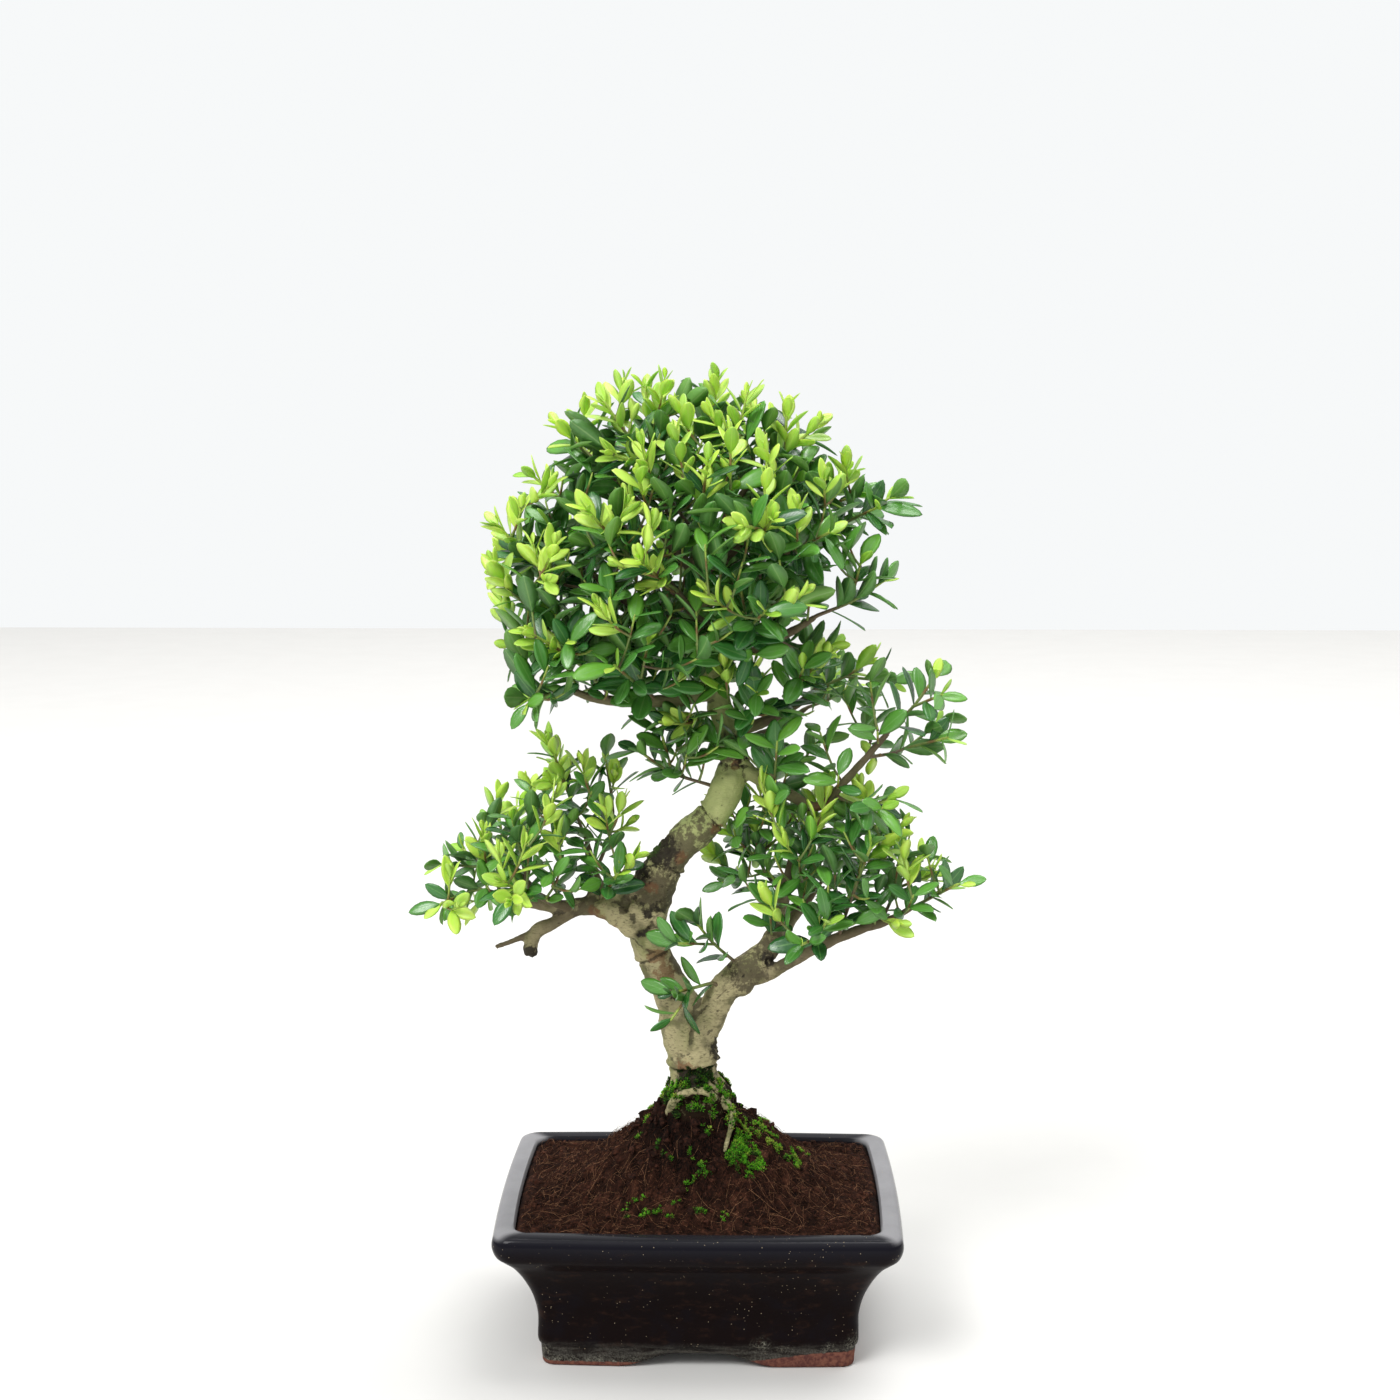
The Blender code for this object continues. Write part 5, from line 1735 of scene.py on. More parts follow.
class Neighbours:
    """What already fills the tree, kept in cells so that only near pieces are tested."""

    cell = 16.0

    def __init__(self) -> None:
        """Starts with nothing."""
        self.cells: dict[tuple[int, ...], list[tuple[BVHTree, int]]] = defaultdict(list)
        self.count = 0

    def keys(self, points: np.ndarray) -> Any:
        """Lists the cells that the points' box touches.

        Args:
            points: The points.

        Returns:
            The cells' numbers.
        """
        low = np.floor((points.min(axis=0) - 0.5) / self.cell).astype(int)
        high = np.floor((points.max(axis=0) + 0.5) / self.cell).astype(int)
        return product(*(range(a, b + 1) for a, b in zip(low, high)))

    def add(self, tree: BVHTree, points: np.ndarray) -> None:
        """Adds a piece.

        Args:
            tree: The piece's search tree.
            points: Its points.
        """
        self.count += 1
        for key in self.keys(points):
            self.cells[key].append((tree, self.count))

    def crossed(self, tree: BVHTree, points: np.ndarray) -> bool:
        """Tells whether a piece here would cross another.

        Args:
            tree: The piece's search tree.
            points: Its points.

        Returns:
            Whether it would.
        """
        seen: set[int] = set()
        for key in self.keys(points):
            for other, number in self.cells.get(key, ()):
                if number not in seen:
                    seen.add(number)
                    if tree.overlap(other):
                        return True
        return False


Occupied = tuple[BVHTree, Vector, float]


def crosses(tree: BVHTree, centre: Vector, reach: float, others: list[Occupied]) -> bool:
    """Tells whether the faces in a search tree cross those of any others.

    Args:
        tree: The search tree.
        centre: The middle of its faces.
        reach: How far they reach from there.
        others: What they may not cross.

    Returns:
        Whether they cross.
    """
    for other_tree, other_centre, other_reach in others:
        if (centre - other_centre).length <= reach + other_reach and tree.overlap(other_tree):
            return True
    return False


# Leaves


def leaf_axes(direction: Vector, outward: Vector, lean: float) -> tuple[Vector, Vector]:
    """Works out how a leaf stands on its stem.

    Args:
        direction: The stem's direction.
        outward: The side of the stem that it grows from.
        lean: The angle between it and the stem, in radians.

    Returns:
        The way along the leaf, and the way it faces.
    """
    along = math.cos(lean) * direction + math.sin(lean) * outward
    facing = math.sin(lean) * direction - math.cos(lean) * outward + LEAF_FACING_UP * UP
    return along, facing


@dataclass
class BladePattern:
    """The grid on which a fine leaf is drawn: a curved top and a plainer underside."""

    rows: tuple[tuple[float, float], ...]
    columns: tuple[float, ...]

    def __post_init__(self) -> None:
        """Works out the faces once."""
        rows, columns = len(self.rows), len(self.columns)
        tip = 1 + rows * columns + rows

        def top(i: int, j: int) -> int:
            """The number of a point on the upper side."""
            return 1 + i * columns + j

        def under(i: int, j: int) -> int:
            """The number of a point on the underside."""
            return (top(i, 0), 1 + rows * columns + i, top(i, columns - 1))[j]

        quads, triangles, quad_sides, triangle_sides = [], [], [], []
        for side, (at, count) in enumerate(((top, columns), (under, 3))):
            for j in range(count - 1):
                for i in range(rows - 1):
                    face = [at(i, j), at(i, j + 1), at(i + 1, j + 1), at(i + 1, j)]
                    quads.append(face[::-1] if side else face)
                    quad_sides.append(side)
                for face in ([0, at(0, j + 1), at(0, j)], [tip, at(rows - 1, j), at(rows - 1, j + 1)]):
                    triangles.append(face[::-1] if side else face)
                    triangle_sides.append(side)
        self.quads = np.array(quads)
        self.triangles = np.array(triangles)
        self.sides = np.array(quad_sides + triangle_sides)
        shares, widths = np.array(self.rows).T
        across = np.array(self.columns)
        middle = np.zeros(rows)
        self.share = np.concatenate([(0.0,), np.repeat(shares, columns), shares, (1.0,)])
        self.width = np.concatenate([(0.0,), np.repeat(widths, columns), widths, (0.0,)])
        self.across = np.concatenate([(0.0,), np.tile(across, rows), middle, (0.0,)])
        self.level = np.concatenate([(0.0,), np.tile(1 - across ** 2, rows), middle - 1, (0.0,)])


FULL_BLADE = BladePattern((
    (0.07, 0.16), (0.22, 0.58), (0.4, 0.91), (0.59, 1.0), (0.78, 0.82), (0.93, 0.44),
), (-1.0, -0.5, 0.0, 0.5, 1.0))
SMALL_BLADE = BladePattern((
    (0.08, 0.2), (0.24, 0.52), (0.45, 0.87), (0.66, 1.0), (0.84, 0.76), (0.95, 0.4),
), (-1.0, 0.0, 1.0))
SMALL_BLADE_LENGTH = 10.5


@dataclass
class Leaf:
    """One blade: where it grows, its size, the way it faces and how old it is."""

    root: Vector
    along: Vector
    facing: Vector
    length: float
    arch: float
    outline: tuple[tuple[float, float], ...]
    age: float = 0.0
    tone: float = 0.5
    fold: float = 0.25
    twist: float = 0.0
    breadth: float = 1.0

    def __post_init__(self) -> None:
        """Squares up the leaf's axes."""
        side = self.along.cross(self.facing).normalized()
        self.facing = side.cross(self.along).normalized()
        self.axes = np.array((side, self.along, self.facing))
        self.half_width = self.breadth * LEAF_WIDTH_SHARE * self.length / 2
        self.centre = self.root + 0.5 * self.length * self.along
        self.reach = 0.5 * self.length + REACH_MARGIN

    def slab(self, grow: float = 0.0, first: int = 0) -> tuple[np.ndarray, list[tuple[int, ...]]]:
        """The flat blade of the solid model, from which clearances are judged.

        Args:
            grow: How much larger it is made all round.
            first: The first row of its outline that is used.

        Returns:
            Its points and its faces.
        """
        rows: list[list[int]] = []
        points: list[tuple[float, float, float]] = []
        for share, width in self.outline[first:]:
            half = self.half_width * width + (grow if width else 0.0)
            y = share * self.length + (grow if share == 1.0 else 0.0)
            z = -self.arch * self.length * share * share - LEAF_THICKNESS / 2 - grow
            xs = (-half, half) if half else (0.0,)
            rows.append(list(range(len(points), len(points) + len(xs))))
            points += [(x, y, z) for x in xs]
        count = len(points)
        points += [(x, y, z + LEAF_THICKNESS + 2 * grow) for x, y, z in points]
        faces = []
        for lower, upper in zip(rows, rows[1:]):
            face = lower + upper[::-1]
            faces += [tuple(face), tuple(corner + count for corner in face[::-1])]
        border = [row[0] for row in rows] + [row[1] for row in rows[::-1] if len(row) > 1]
        for a, b in zip(border, border[1:] + border[:1]):
            faces.append((a, b, b + count, a + count))
        return np.array(points) @ self.axes + np.array(self.root), faces

    def tree(self, grow: float = 0.0, first: int = 0) -> BVHTree:
        """The search tree of the flat blade."""
        points, faces = self.slab(grow, first)
        return BVHTree.FromPolygons(points.tolist(), faces)

    def occupied(self) -> Occupied:
        """What the leaf takes up."""
        return self.tree(), self.centre, self.reach

    def draw_on(self, skin: Skin) -> None:
        """Adds the fine blade, with its fold, arch, twist, rib and thin edge.

        Args:
            skin: The piece it is added to.
        """
        pattern = SMALL_BLADE if self.length < SMALL_BLADE_LENGTH else FULL_BLADE
        share, across = pattern.share, pattern.across
        x = across * pattern.width * self.half_width
        y = share * self.length
        z = self.fold * np.abs(x) - 0.1 * x * x / self.half_width
        angle = self.twist * share
        x, z = x * np.cos(angle) - z * np.sin(angle), x * np.sin(angle) + z * np.cos(angle)
        thick = 0.2 + 0.1 * (1 - self.age)
        rib = (across == 0) * (1 - share) * 0.12
        z += thick * pattern.level - rib
        z += 0.05 * self.length * np.sin(3.0 * share + 9 * self.tone) * share * (across ** 2) * 0.5
        z -= self.arch * self.length * share * share
        y[0] = -0.6
        points = np.column_stack([x, y, z]) @ self.axes + np.array(self.root)
        top = LeafFace.NEW if self.age > 0.5 else LeafFace.MATURE
        under = LeafFace.NEW if self.age > 0.5 else LeafFace.UNDERSIDE
        skin.add(
            Form(points, pattern.triangles, pattern.quads),
            finish=np.where(pattern.sides == 0, top, under),
            age=self.age, tone=self.tone, across=np.abs(across), along=share,
        )


# Twigs and sprays


class Stem:
    """A twig or a side shoot: its points, its radii and what it takes up."""

    sides = 5
    spacing = 4.0
    base_swell = 1.25
    bud_length = 1.1
    bud_radius = 0.25
    unevenness = 0.14
    slimness = 0.88
    least_radius = 0.2
    green_length = 26.0

    def __init__(self, points: list[Vector], base_radius: float, tip_radius: float) -> None:
        """Lays out the stem.

        Args:
            points: The points along it.
            base_radius: Its radius at the first point.
            tip_radius: Its radius at the last.
        """
        self.points = points
        last = len(points) - 1
        radii = [base_radius + (tip_radius - base_radius) * i / last for i in range(len(points))]
        self.path = [(*point, radius) for point, radius in zip(points, radii)]
        self.centre = sum(points, Vector()) / len(points)
        self.reach = max((point - self.centre).length for point in points) + REACH_MARGIN
        self.tree = coarse_tree(self.path)
        self.wide_tree = coarse_tree(self.path, STEM_CLEARANCE)
        self.length = path_length(points)
        self.taken: list[float] = []
        self.vigour = 0.5

    def occupied(self) -> Occupied:
        """What the stem takes up."""
        return self.tree, self.centre, self.reach

    def box_points(self) -> np.ndarray:
        """Its points, for the cells that it touches."""
        return np.array([point[:3] for point in self.path])

    def fits(self, wood: BVHTree, others: list[Occupied]) -> bool:
        """Tells whether it is clear of the wood and of the other stems.

        Args:
            wood: The wood's search tree.
            others: What the other stems take up.

        Returns:
            Whether it is.
        """
        if self.tree.overlap(wood):
            return False
        return not crosses(self.wide_tree, self.centre, self.reach, others)

    def at(self, back: float) -> tuple[Vector, Vector]:
        """The place this far back from the tip, and the direction there."""
        return along_path(self.points, max(0.0, 1 - back / self.length))

    def draw_on(self, skin: Skin, sunk: float) -> None:
        """Adds the fine stem, its base sunk into what carries it and its tip a bud.

        Args:
            skin: The piece it is added to.
            sunk: How far its base reaches in.
        """
        rows = np.array(self.path)
        first, last = unit(rows[1, :3] - rows[0, :3]), unit(rows[-1, :3] - rows[-2, :3])
        base = np.append(rows[0, :3] - sunk * first, rows[0, 3] * self.base_swell)
        bud = np.append(rows[-1, :3] + self.bud_length * last, self.bud_radius)
        curve = smooth_path(np.vstack([base, rows, bud]), self.spacing)
        curve[1:-2, 3] *= 1 + self.unevenness * noise_at(curve[1:-2, :3], 2.0)
        curve[:, 3] = np.maximum(curve[:, 3] * self.slimness, self.least_radius)
        steps = np.linalg.norm(np.diff(curve[:, :3], axis=0), axis=1)
        back = np.append(np.cumsum(steps[::-1])[::-1], 0.0)
        age = np.clip(1 - back / (self.green_length * (1 + self.vigour)), 0.0, 1.0)
        ages = np.concatenate([np.repeat(age, self.sides), (age[0], age[-1])])
        skin.add(sweep(curve, self.sides), finish=LeafFace.SHOOT, age=ages, tone=0.5, across=0.5,
                 along=0.5)


@dataclass(frozen=True)
class Habit:
    """How the fine sprays of one pad grow."""

    tip_spacing: float
    open_share: float
    mature_length: tuple[float, float]
    mature_age: tuple[float, float]
    vigour: float
    wider: tuple[Place, ...] = ()
    trimmed: tuple[tuple[Place, Place], ...] = ()
    lowest: float = 0.0
    from_trunk: float | None = None


HABITS: dict[str, Habit] = {
    "crown": Habit(
        13.6, 0.28, (15.0, 23.0), (-0.04, 0.26), 2.0,
        trimmed=(((90.5, 0, 415), (0.8, 0, -0.6)), ((-98, 0, 362), (-0.93, 0, -0.37))),
    ),
    "left": Habit(
        14.0, 0.08, (12.0, 18.0), (0.02, 0.24), 1.0, ((-22, -24, 238), (-27, -18, 268)),
    ),
    # The middle pad's mature leaves get lighter greens, partly as younger leaves and partly as painted
    # light shining through from behind.
    "middle": Habit(
        21.0, 0.2, (14.5, 21.0), (0.1, 0.38), 0.9,
        ((10, -18, 300), (2, -26, 328), (26, -24, 262), (14, 14, 258), (34, 30, 262)),
    ),
    "right": Habit(
        14.2, 0.02, (12.5, 18.5), (0.0, 0.24), 1.0,
        ((-8, 14, 230), (-5, 20, 268), (4, 16, 224), (6, 18, 286), (22, -14, 290), (22, -14, 236),
         (88, -12, 286)),
    ),
    "trunk": Habit(
        13.5, 0.1, (14.0, 20.0), (0.12, 0.34), 0.9,
        ((-16, 18, 300), (8, -30, 300), (10, 14, 326), (36, -24, 302), (40, -22, 350), (6, -30, 352)),
        lowest=291.0, from_trunk=0.64,
    ),
}


@dataclass
class Growth:
    """How the fine sprays fill out every pad, and how old their leaves are."""

    targets: int = 12000
    reach: tuple[float, float] = (8.0, 36.0)
    along_parent: tuple[float, float] = (-0.2, 0.92)
    steepest_drop: float = -0.3
    upright: float = 1.75
    sag: float = 0.11
    sample_step: float = 2.5
    first_shares: tuple[float, float] = (0.15, 0.3)
    last_share: float = 0.93
    shoot_radii: tuple[float, float] = (0.8, 0.55)
    skin_depth: float = 1.5
    bays: tuple[float, float] = (17.0, 22.0)
    open_depth: float = 18.0
    patch_width: float = 15.0
    dull_depth: float = 6.5
    outside: tuple[float, float] = (-1.5, -6.0)
    hidden_depth: float = 40.0
    light: Place = (-0.32, -0.2, 0.92)
    new_growth: tuple[float, float] = (2.0, 29.0)
    new_spacing: tuple[float, float] = (1.9, 3.2)
    mature_spacing: tuple[float, float] = (3.2, 5.4)
    new_length: tuple[float, float] = (6.0, 8.5)
    new_length_back: float = 7.0
    new_size: tuple[float, float] = (0.85, 1.2)
    new_lean: tuple[float, float] = (9.0, 34.0)
    new_lean_back: float = 11.0
    new_arch: tuple[float, float] = (-0.05, 0.1)
    mature_lean: tuple[float, float] = (30.0, 68.0)
    mature_arch: tuple[float, float] = (0.03, 0.22)
    fold: tuple[float, float] = (0.1, 0.42)
    twist: float = 0.28
    breadth: tuple[float, float] = (0.88, 1.05)
    facing_out: float = 0.3
    hidden_leaves: float = 0.3
    bare_base: float = 4.0
    clearance: float = 0.05
    sizes: tuple[float, ...] = (1.0, 0.84, 0.7)
    turns: tuple[int, ...] = (0, 26, -26, 55, -55, 85, -85, 120, -120, 165)
    open_trunk: tuple[float, float] = (140.0, 294.0)
    open_width: float = 13.0

    def hides_trunk(self, place: Vector) -> bool:
        """Tells whether a place lies in front of the stretch of trunk that is kept bare.

        Args:
            place: The place.

        Returns:
            Whether it does.
        """
        if place.y > 3:
            return False
        eye = Vector(VIEWPOINT)
        seen = eye + (place - eye) * (eye.y / (eye.y - place.y))
        low, high = self.open_trunk
        if not low < seen.z < high:
            return False
        rows = np.array(STEM)
        return abs(seen.x - np.interp(seen.z, rows[:, 2], rows[:, 0])) < self.open_width

    def age_at(self, back: float, vigour: float) -> float:
        """Works out how new a leaf is.

        Args:
            back: How far back from the tip it grows.
            vigour: How much new growth the shoot has.

        Returns:
            Its age, from 0 for old to 1 for new.
        """
        low, high = self.new_growth
        reach = low + (high - low) * vigour
        recent = 0.36 * math.exp(-back / 24.0)
        if vigour < 0.12:
            return recent
        return max(recent, float(ease(-back, -(reach + 6.0), -(reach - 2.0))))


class Spray:
    """One node of foliage: a twig, its side shoots and their leaves."""

    def __init__(self, name: str, path: WoodPath, share: float, tip: Any) -> None:
        """Notes where the spray grows.

        Args:
            name: The name of its node in the solid model.
            path: The branch it grows from.
            share: How far along the branch.
            tip: Where its tip is.
        """
        self.name = name
        self.path = path
        self.share = share
        self.tip = Vector(tip)
        self.in_front = name in FRONT_SPRIGS
        self.draw = random.Random(name)
        self.fine_draw = random.Random(f"{name}_fine")
        self.stems: list[Stem] = []
        self.leaves: list[Leaf] = []

    def occupied(self) -> list[Occupied]:
        """What its stems and leaves take up."""
        return [piece.occupied() for piece in self.stems + self.leaves]

    def seat(self, wood: BVHTree, share: float) -> tuple[Vector, Vector]:
        """Finds where the twig leaves the bark.

        Args:
            wood: The wood's search tree.
            share: How far along the branch.

        Returns:
            The place, and the bark's direction there.
        """
        inside, direction = along_path(self.path, share)
        if share >= 1.0:
            inside = inside - START_INSIDE * direction
            aim = direction
        else:
            towards = self.tip - inside
            aim = towards - SQUARE_TO_BRANCH * towards.dot(direction) * direction
        place, normal, _, _ = wood.ray_cast(inside, aim.normalized())
        return place + SEAT_GAP * normal, normal

    def twig_points(self, seat: Vector, normal: Vector, bend: Vector) -> list[Vector]:
        """Bends a twig smoothly from its seat to the tip, where it turns up.

        Args:
            seat: Where it leaves the bark.
            normal: The bark's direction there.
            bend: How far it is pushed to one side.

        Returns:
            The points along it.
        """
        start = seat + SEAT_LENGTH * normal
        end_direction = ((self.tip - start).normalized() + TIP_UPTURN * UP).normalized()
        tip = self.tip - TIP_LEAF_REACH * end_direction
        span = (tip - start).length
        handle = start + HANDLE_SHARE * span * normal + bend
        last_handle = tip - HANDLE_SHARE * span * end_direction
        return [seat] + interpolate_bezier(start, handle, last_handle, tip, TWIG_STEPS)

    def grow_twig(self, wood: BVHTree, others: list[Occupied]) -> Stem:
        """Grows the twig, bent to one side where another is in the way.

        Args:
            wood: The wood's search tree.
            others: What the other stems take up.

        Returns:
            The twig.
        """
        for shift in SEAT_SHIFTS:
            if self.share >= 1.0 and shift:
                break
            seat, normal = self.seat(wood, self.share + shift)
            for side in SIDE_BENDS:
                bend = side * around((self.tip - seat).normalized(), 0)
                twig = Stem(self.twig_points(seat, normal, bend), TWIG_RADIUS, TIP_RADIUS)
                if twig.fits(wood, others):
                    return twig
        raise ValueError(f"{self.name} finds no clear way to its tip")

    def grow_stems(self, wood: BVHTree, others: list[Occupied]) -> None:
        """Grows the twig and the side shoot that the solid model has.

        Args:
            wood: The wood's search tree.
            others: What the other stems take up.
        """
        twig = self.grow_twig(wood, others)
        self.stems.append(twig)
        root, direction = along_path(twig.points, SIDE_SHOOT_SHARE)
        first_turn = self.draw.uniform(0, 360)
        length = SIDE_SHOOT_LENGTH * self.draw.uniform(*SIDE_SHOOT_SPREAD)
        lean = math.radians(SIDE_SHOOT_ANGLE)
        for turn in range(0, 360, SIDE_SHOOT_TURN):
            leaving = math.cos(lean) * direction + math.sin(lean) * around(direction, first_turn + turn)
            end = root + length * (leaving + SIDE_SHOOT_UPTURN * UP).normalized()
            shoot = Stem([root, end], SIDE_SHOOT_RADIUS, TIP_RADIUS)
            if shoot.fits(wood, others):
                self.stems.append(shoot)
                break

    def leaf_at(self, stem: Stem, back: float, turn: float, young: bool, draws: Any) -> Leaf:
        """Grows one leaf of the solid model.

        Args:
            stem: The stem it grows on.
            back: How far back from the tip.
            turn: The angle round the stem.
            young: Whether it is a new leaf.
            draws: Three drawn numbers, for its length, lean and arch.

        Returns:
            The leaf.
        """
        root, direction = stem.at(back)
        outline = YOUNG_OUTLINE if young else MATURE_OUTLINE
        mature = (MATURE_LENGTH, MATURE_LEAN, MATURE_ARCH)
        ranges = (YOUNG_LENGTH, YOUNG_LEAN, YOUNG_ARCH) if young else mature
        length, lean, arch = (least + more * value for (least, more), value in zip(ranges, draws))
        axes = leaf_axes(direction, around(direction, turn), math.radians(lean))
        return Leaf(root, *axes, length, arch, outline)

    def leaf_places(self, stem: Stem) -> list[tuple[float, bool]]:
        """Lists where the leaves of the solid model grow.

        Args:
            stem: Their stem.

        Returns:
            How far back each grows, and whether it is young.
        """
        main = stem is self.stems[0]
        closest, widest = MATURE_SPACING
        spacing = min(widest, max(closest, MATURE_SPREAD * stem.length))
        count = MAIN_MATURE_LEAVES if main else SIDE_MATURE_LEAVES
        places = [(back, True) for back in (YOUNG_PLACES if main else SIDE_YOUNG_PLACES)]
        return places + [(MATURE_START + spacing * number, False) for number in range(count)]

    def grow_leaves(self, others: list[Occupied]) -> None:
        """Grows the leaves that the solid model has, each turned clear of the rest.

        Args:
            others: What is already there.
        """
        own = [stem.occupied() for stem in self.stems]
        for stem in self.stems:
            turn = self.draw.uniform(0, 360)
            for back, young in self.leaf_places(stem):
                turn += GOLDEN_ANGLE
                draws = (self.draw.random(), self.draw.random(), self.draw.random())
                for change in LEAF_TURNS:
                    leaf = self.leaf_at(stem, back, turn + change, young, draws)
                    if crosses(leaf.tree(LEAF_CLEARANCE), leaf.centre, leaf.reach, others):
                        continue
                    if not crosses(leaf.tree(LEAF_CLEARANCE, 1), leaf.centre, leaf.reach, own):
                        self.leaves.append(leaf)
                        own.append(leaf.occupied())
                        stem.taken.append(back)
                        break

    def settle(self, pad: "Pad", near: Neighbours) -> None:
        """Gives the solid model's pieces their age, and notes what they take up.

        Args:
            pad: The spray's pad.
            near: What fills the tree so far.
        """
        draw = self.fine_draw
        for stem in self.stems:
            stem.vigour = pad.vigour_at(stem.points[-1], draw)
            near.add(stem.tree, stem.box_points())
        for leaf in self.leaves:
            young = leaf.outline is YOUNG_OUTLINE and pad.name != "trunk"
            leaf.age = draw.uniform(0.72, 1.0) if young else draw.uniform(0.0, 0.35)
            leaf.tone = draw.random()
            leaf.fold = draw.uniform(0.12, 0.4)
            leaf.twist = draw.gauss(0, 0.25)
            near.add(leaf.tree(), leaf.slab()[0])

    def fill_leaves(self, growth: Growth, pad: "Pad", wood: BVHTree, near: Neighbours) -> None:
        """Adds leaves along every stem in a spiral, from the tip back.

        Args:
            growth: The rule of the fine sprays.
            pad: The spray's pad.
            wood: The wood's search tree.
            near: What fills the tree so far.
        """
        draw = self.fine_draw
        for stem in self.stems:
            turn = draw.uniform(0, 360)
            back = 0.0
            while back < stem.length - growth.bare_base:
                age = growth.age_at(back, stem.vigour)
                turn += GOLDEN_ANGLE + draw.gauss(0, 8)
                clear = all(abs(back - place) > 0.7 for place in stem.taken)
                hidden = pad.depth(stem.at(back)[0])[0] > growth.hidden_depth
                if clear and (not hidden or draw.random() < growth.hidden_leaves):
                    self.try_leaf(stem, back, turn, age, pad, wood, near)
                spacing = growth.new_spacing if age > 0.5 else growth.mature_spacing
                back += draw.uniform(*spacing)

    def try_leaf(
        self, stem: Stem, back: float, turn: float, age: float, pad: "Pad",
        wood: BVHTree, near: Neighbours,
    ) -> None:
        """Adds one leaf where one of a few turns and sizes is clear.

        Args:
            stem: The stem it grows on.
            back: How far back from the tip.
            turn: The angle round the stem.
            age: How new it is, from 0 to 1.
            pad: The pad that the spray belongs to.
            wood: The wood's search tree.
            near: What fills the tree so far.
        """
        growth = pad.growth
        draw = self.fine_draw
        root, direction = stem.at(back)
        new = age > 0.5
        added = stem not in self.stems[:2]
        to_light = growth.facing_out * pad.depth(root)[1]
        if new:
            least, more = growth.new_length
            length = (least + more * min(1.0, back / growth.new_length_back))
            length *= draw.uniform(*growth.new_size)
            least, more = growth.new_lean
            lean = least + more * min(1.0, back / growth.new_lean_back) + draw.gauss(0, 5)
            arch = draw.uniform(*growth.new_arch)
        else:
            length = draw.uniform(*pad.habit.mature_length)
            lean = draw.uniform(*growth.mature_lean)
            arch = draw.uniform(*growth.mature_arch)
            age = min(0.5, max(0.0, age + draw.uniform(*pad.habit.mature_age)))
        tone, fold = draw.random(), draw.uniform(*growth.fold)
        twist, breadth = draw.gauss(0, growth.twist), draw.uniform(*growth.breadth)
        outline = YOUNG_OUTLINE if new else MATURE_OUTLINE
        for size in growth.sizes:
            for change in growth.turns:
                outward = around(direction, turn + change)
                along, facing = leaf_axes(direction, outward, math.radians(lean))
                leaf = Leaf(root, along, facing + to_light, size * length, arch, outline, age, tone,
                            fold, twist, breadth)
                tip = root + size * length * along
                if self.in_front:
                    if along.z < 0.1:
                        continue
                elif growth.hides_trunk(leaf.centre) or growth.hides_trunk(tip):
                    continue
                elif added and pad.depth(tip)[0] < growth.outside[new]:
                    continue
                points, faces = leaf.slab(growth.clearance, 1)
                tree = BVHTree.FromPolygons(points.tolist(), faces)
                if tree.overlap(wood) or near.crossed(tree, points):
                    continue
                self.leaves.append(leaf)
                near.add(tree, points)
                return

    def build(self, materials: list[bpy.types.Material]) -> None:
        """Makes the fine spray that stands for its node.

        Args:
            materials: The finishes, in the order of LeafFace.
        """
        skin = Skin()
        for number, stem in enumerate(self.stems):
            stem.draw_on(skin, sunk=0.6 if number else 2.2)
        for leaf in self.leaves:
            leaf.draw_on(skin)
        hand_over(skin.build(f"{self.name}_fine", materials), Slot.FOLIAGE, self.name)


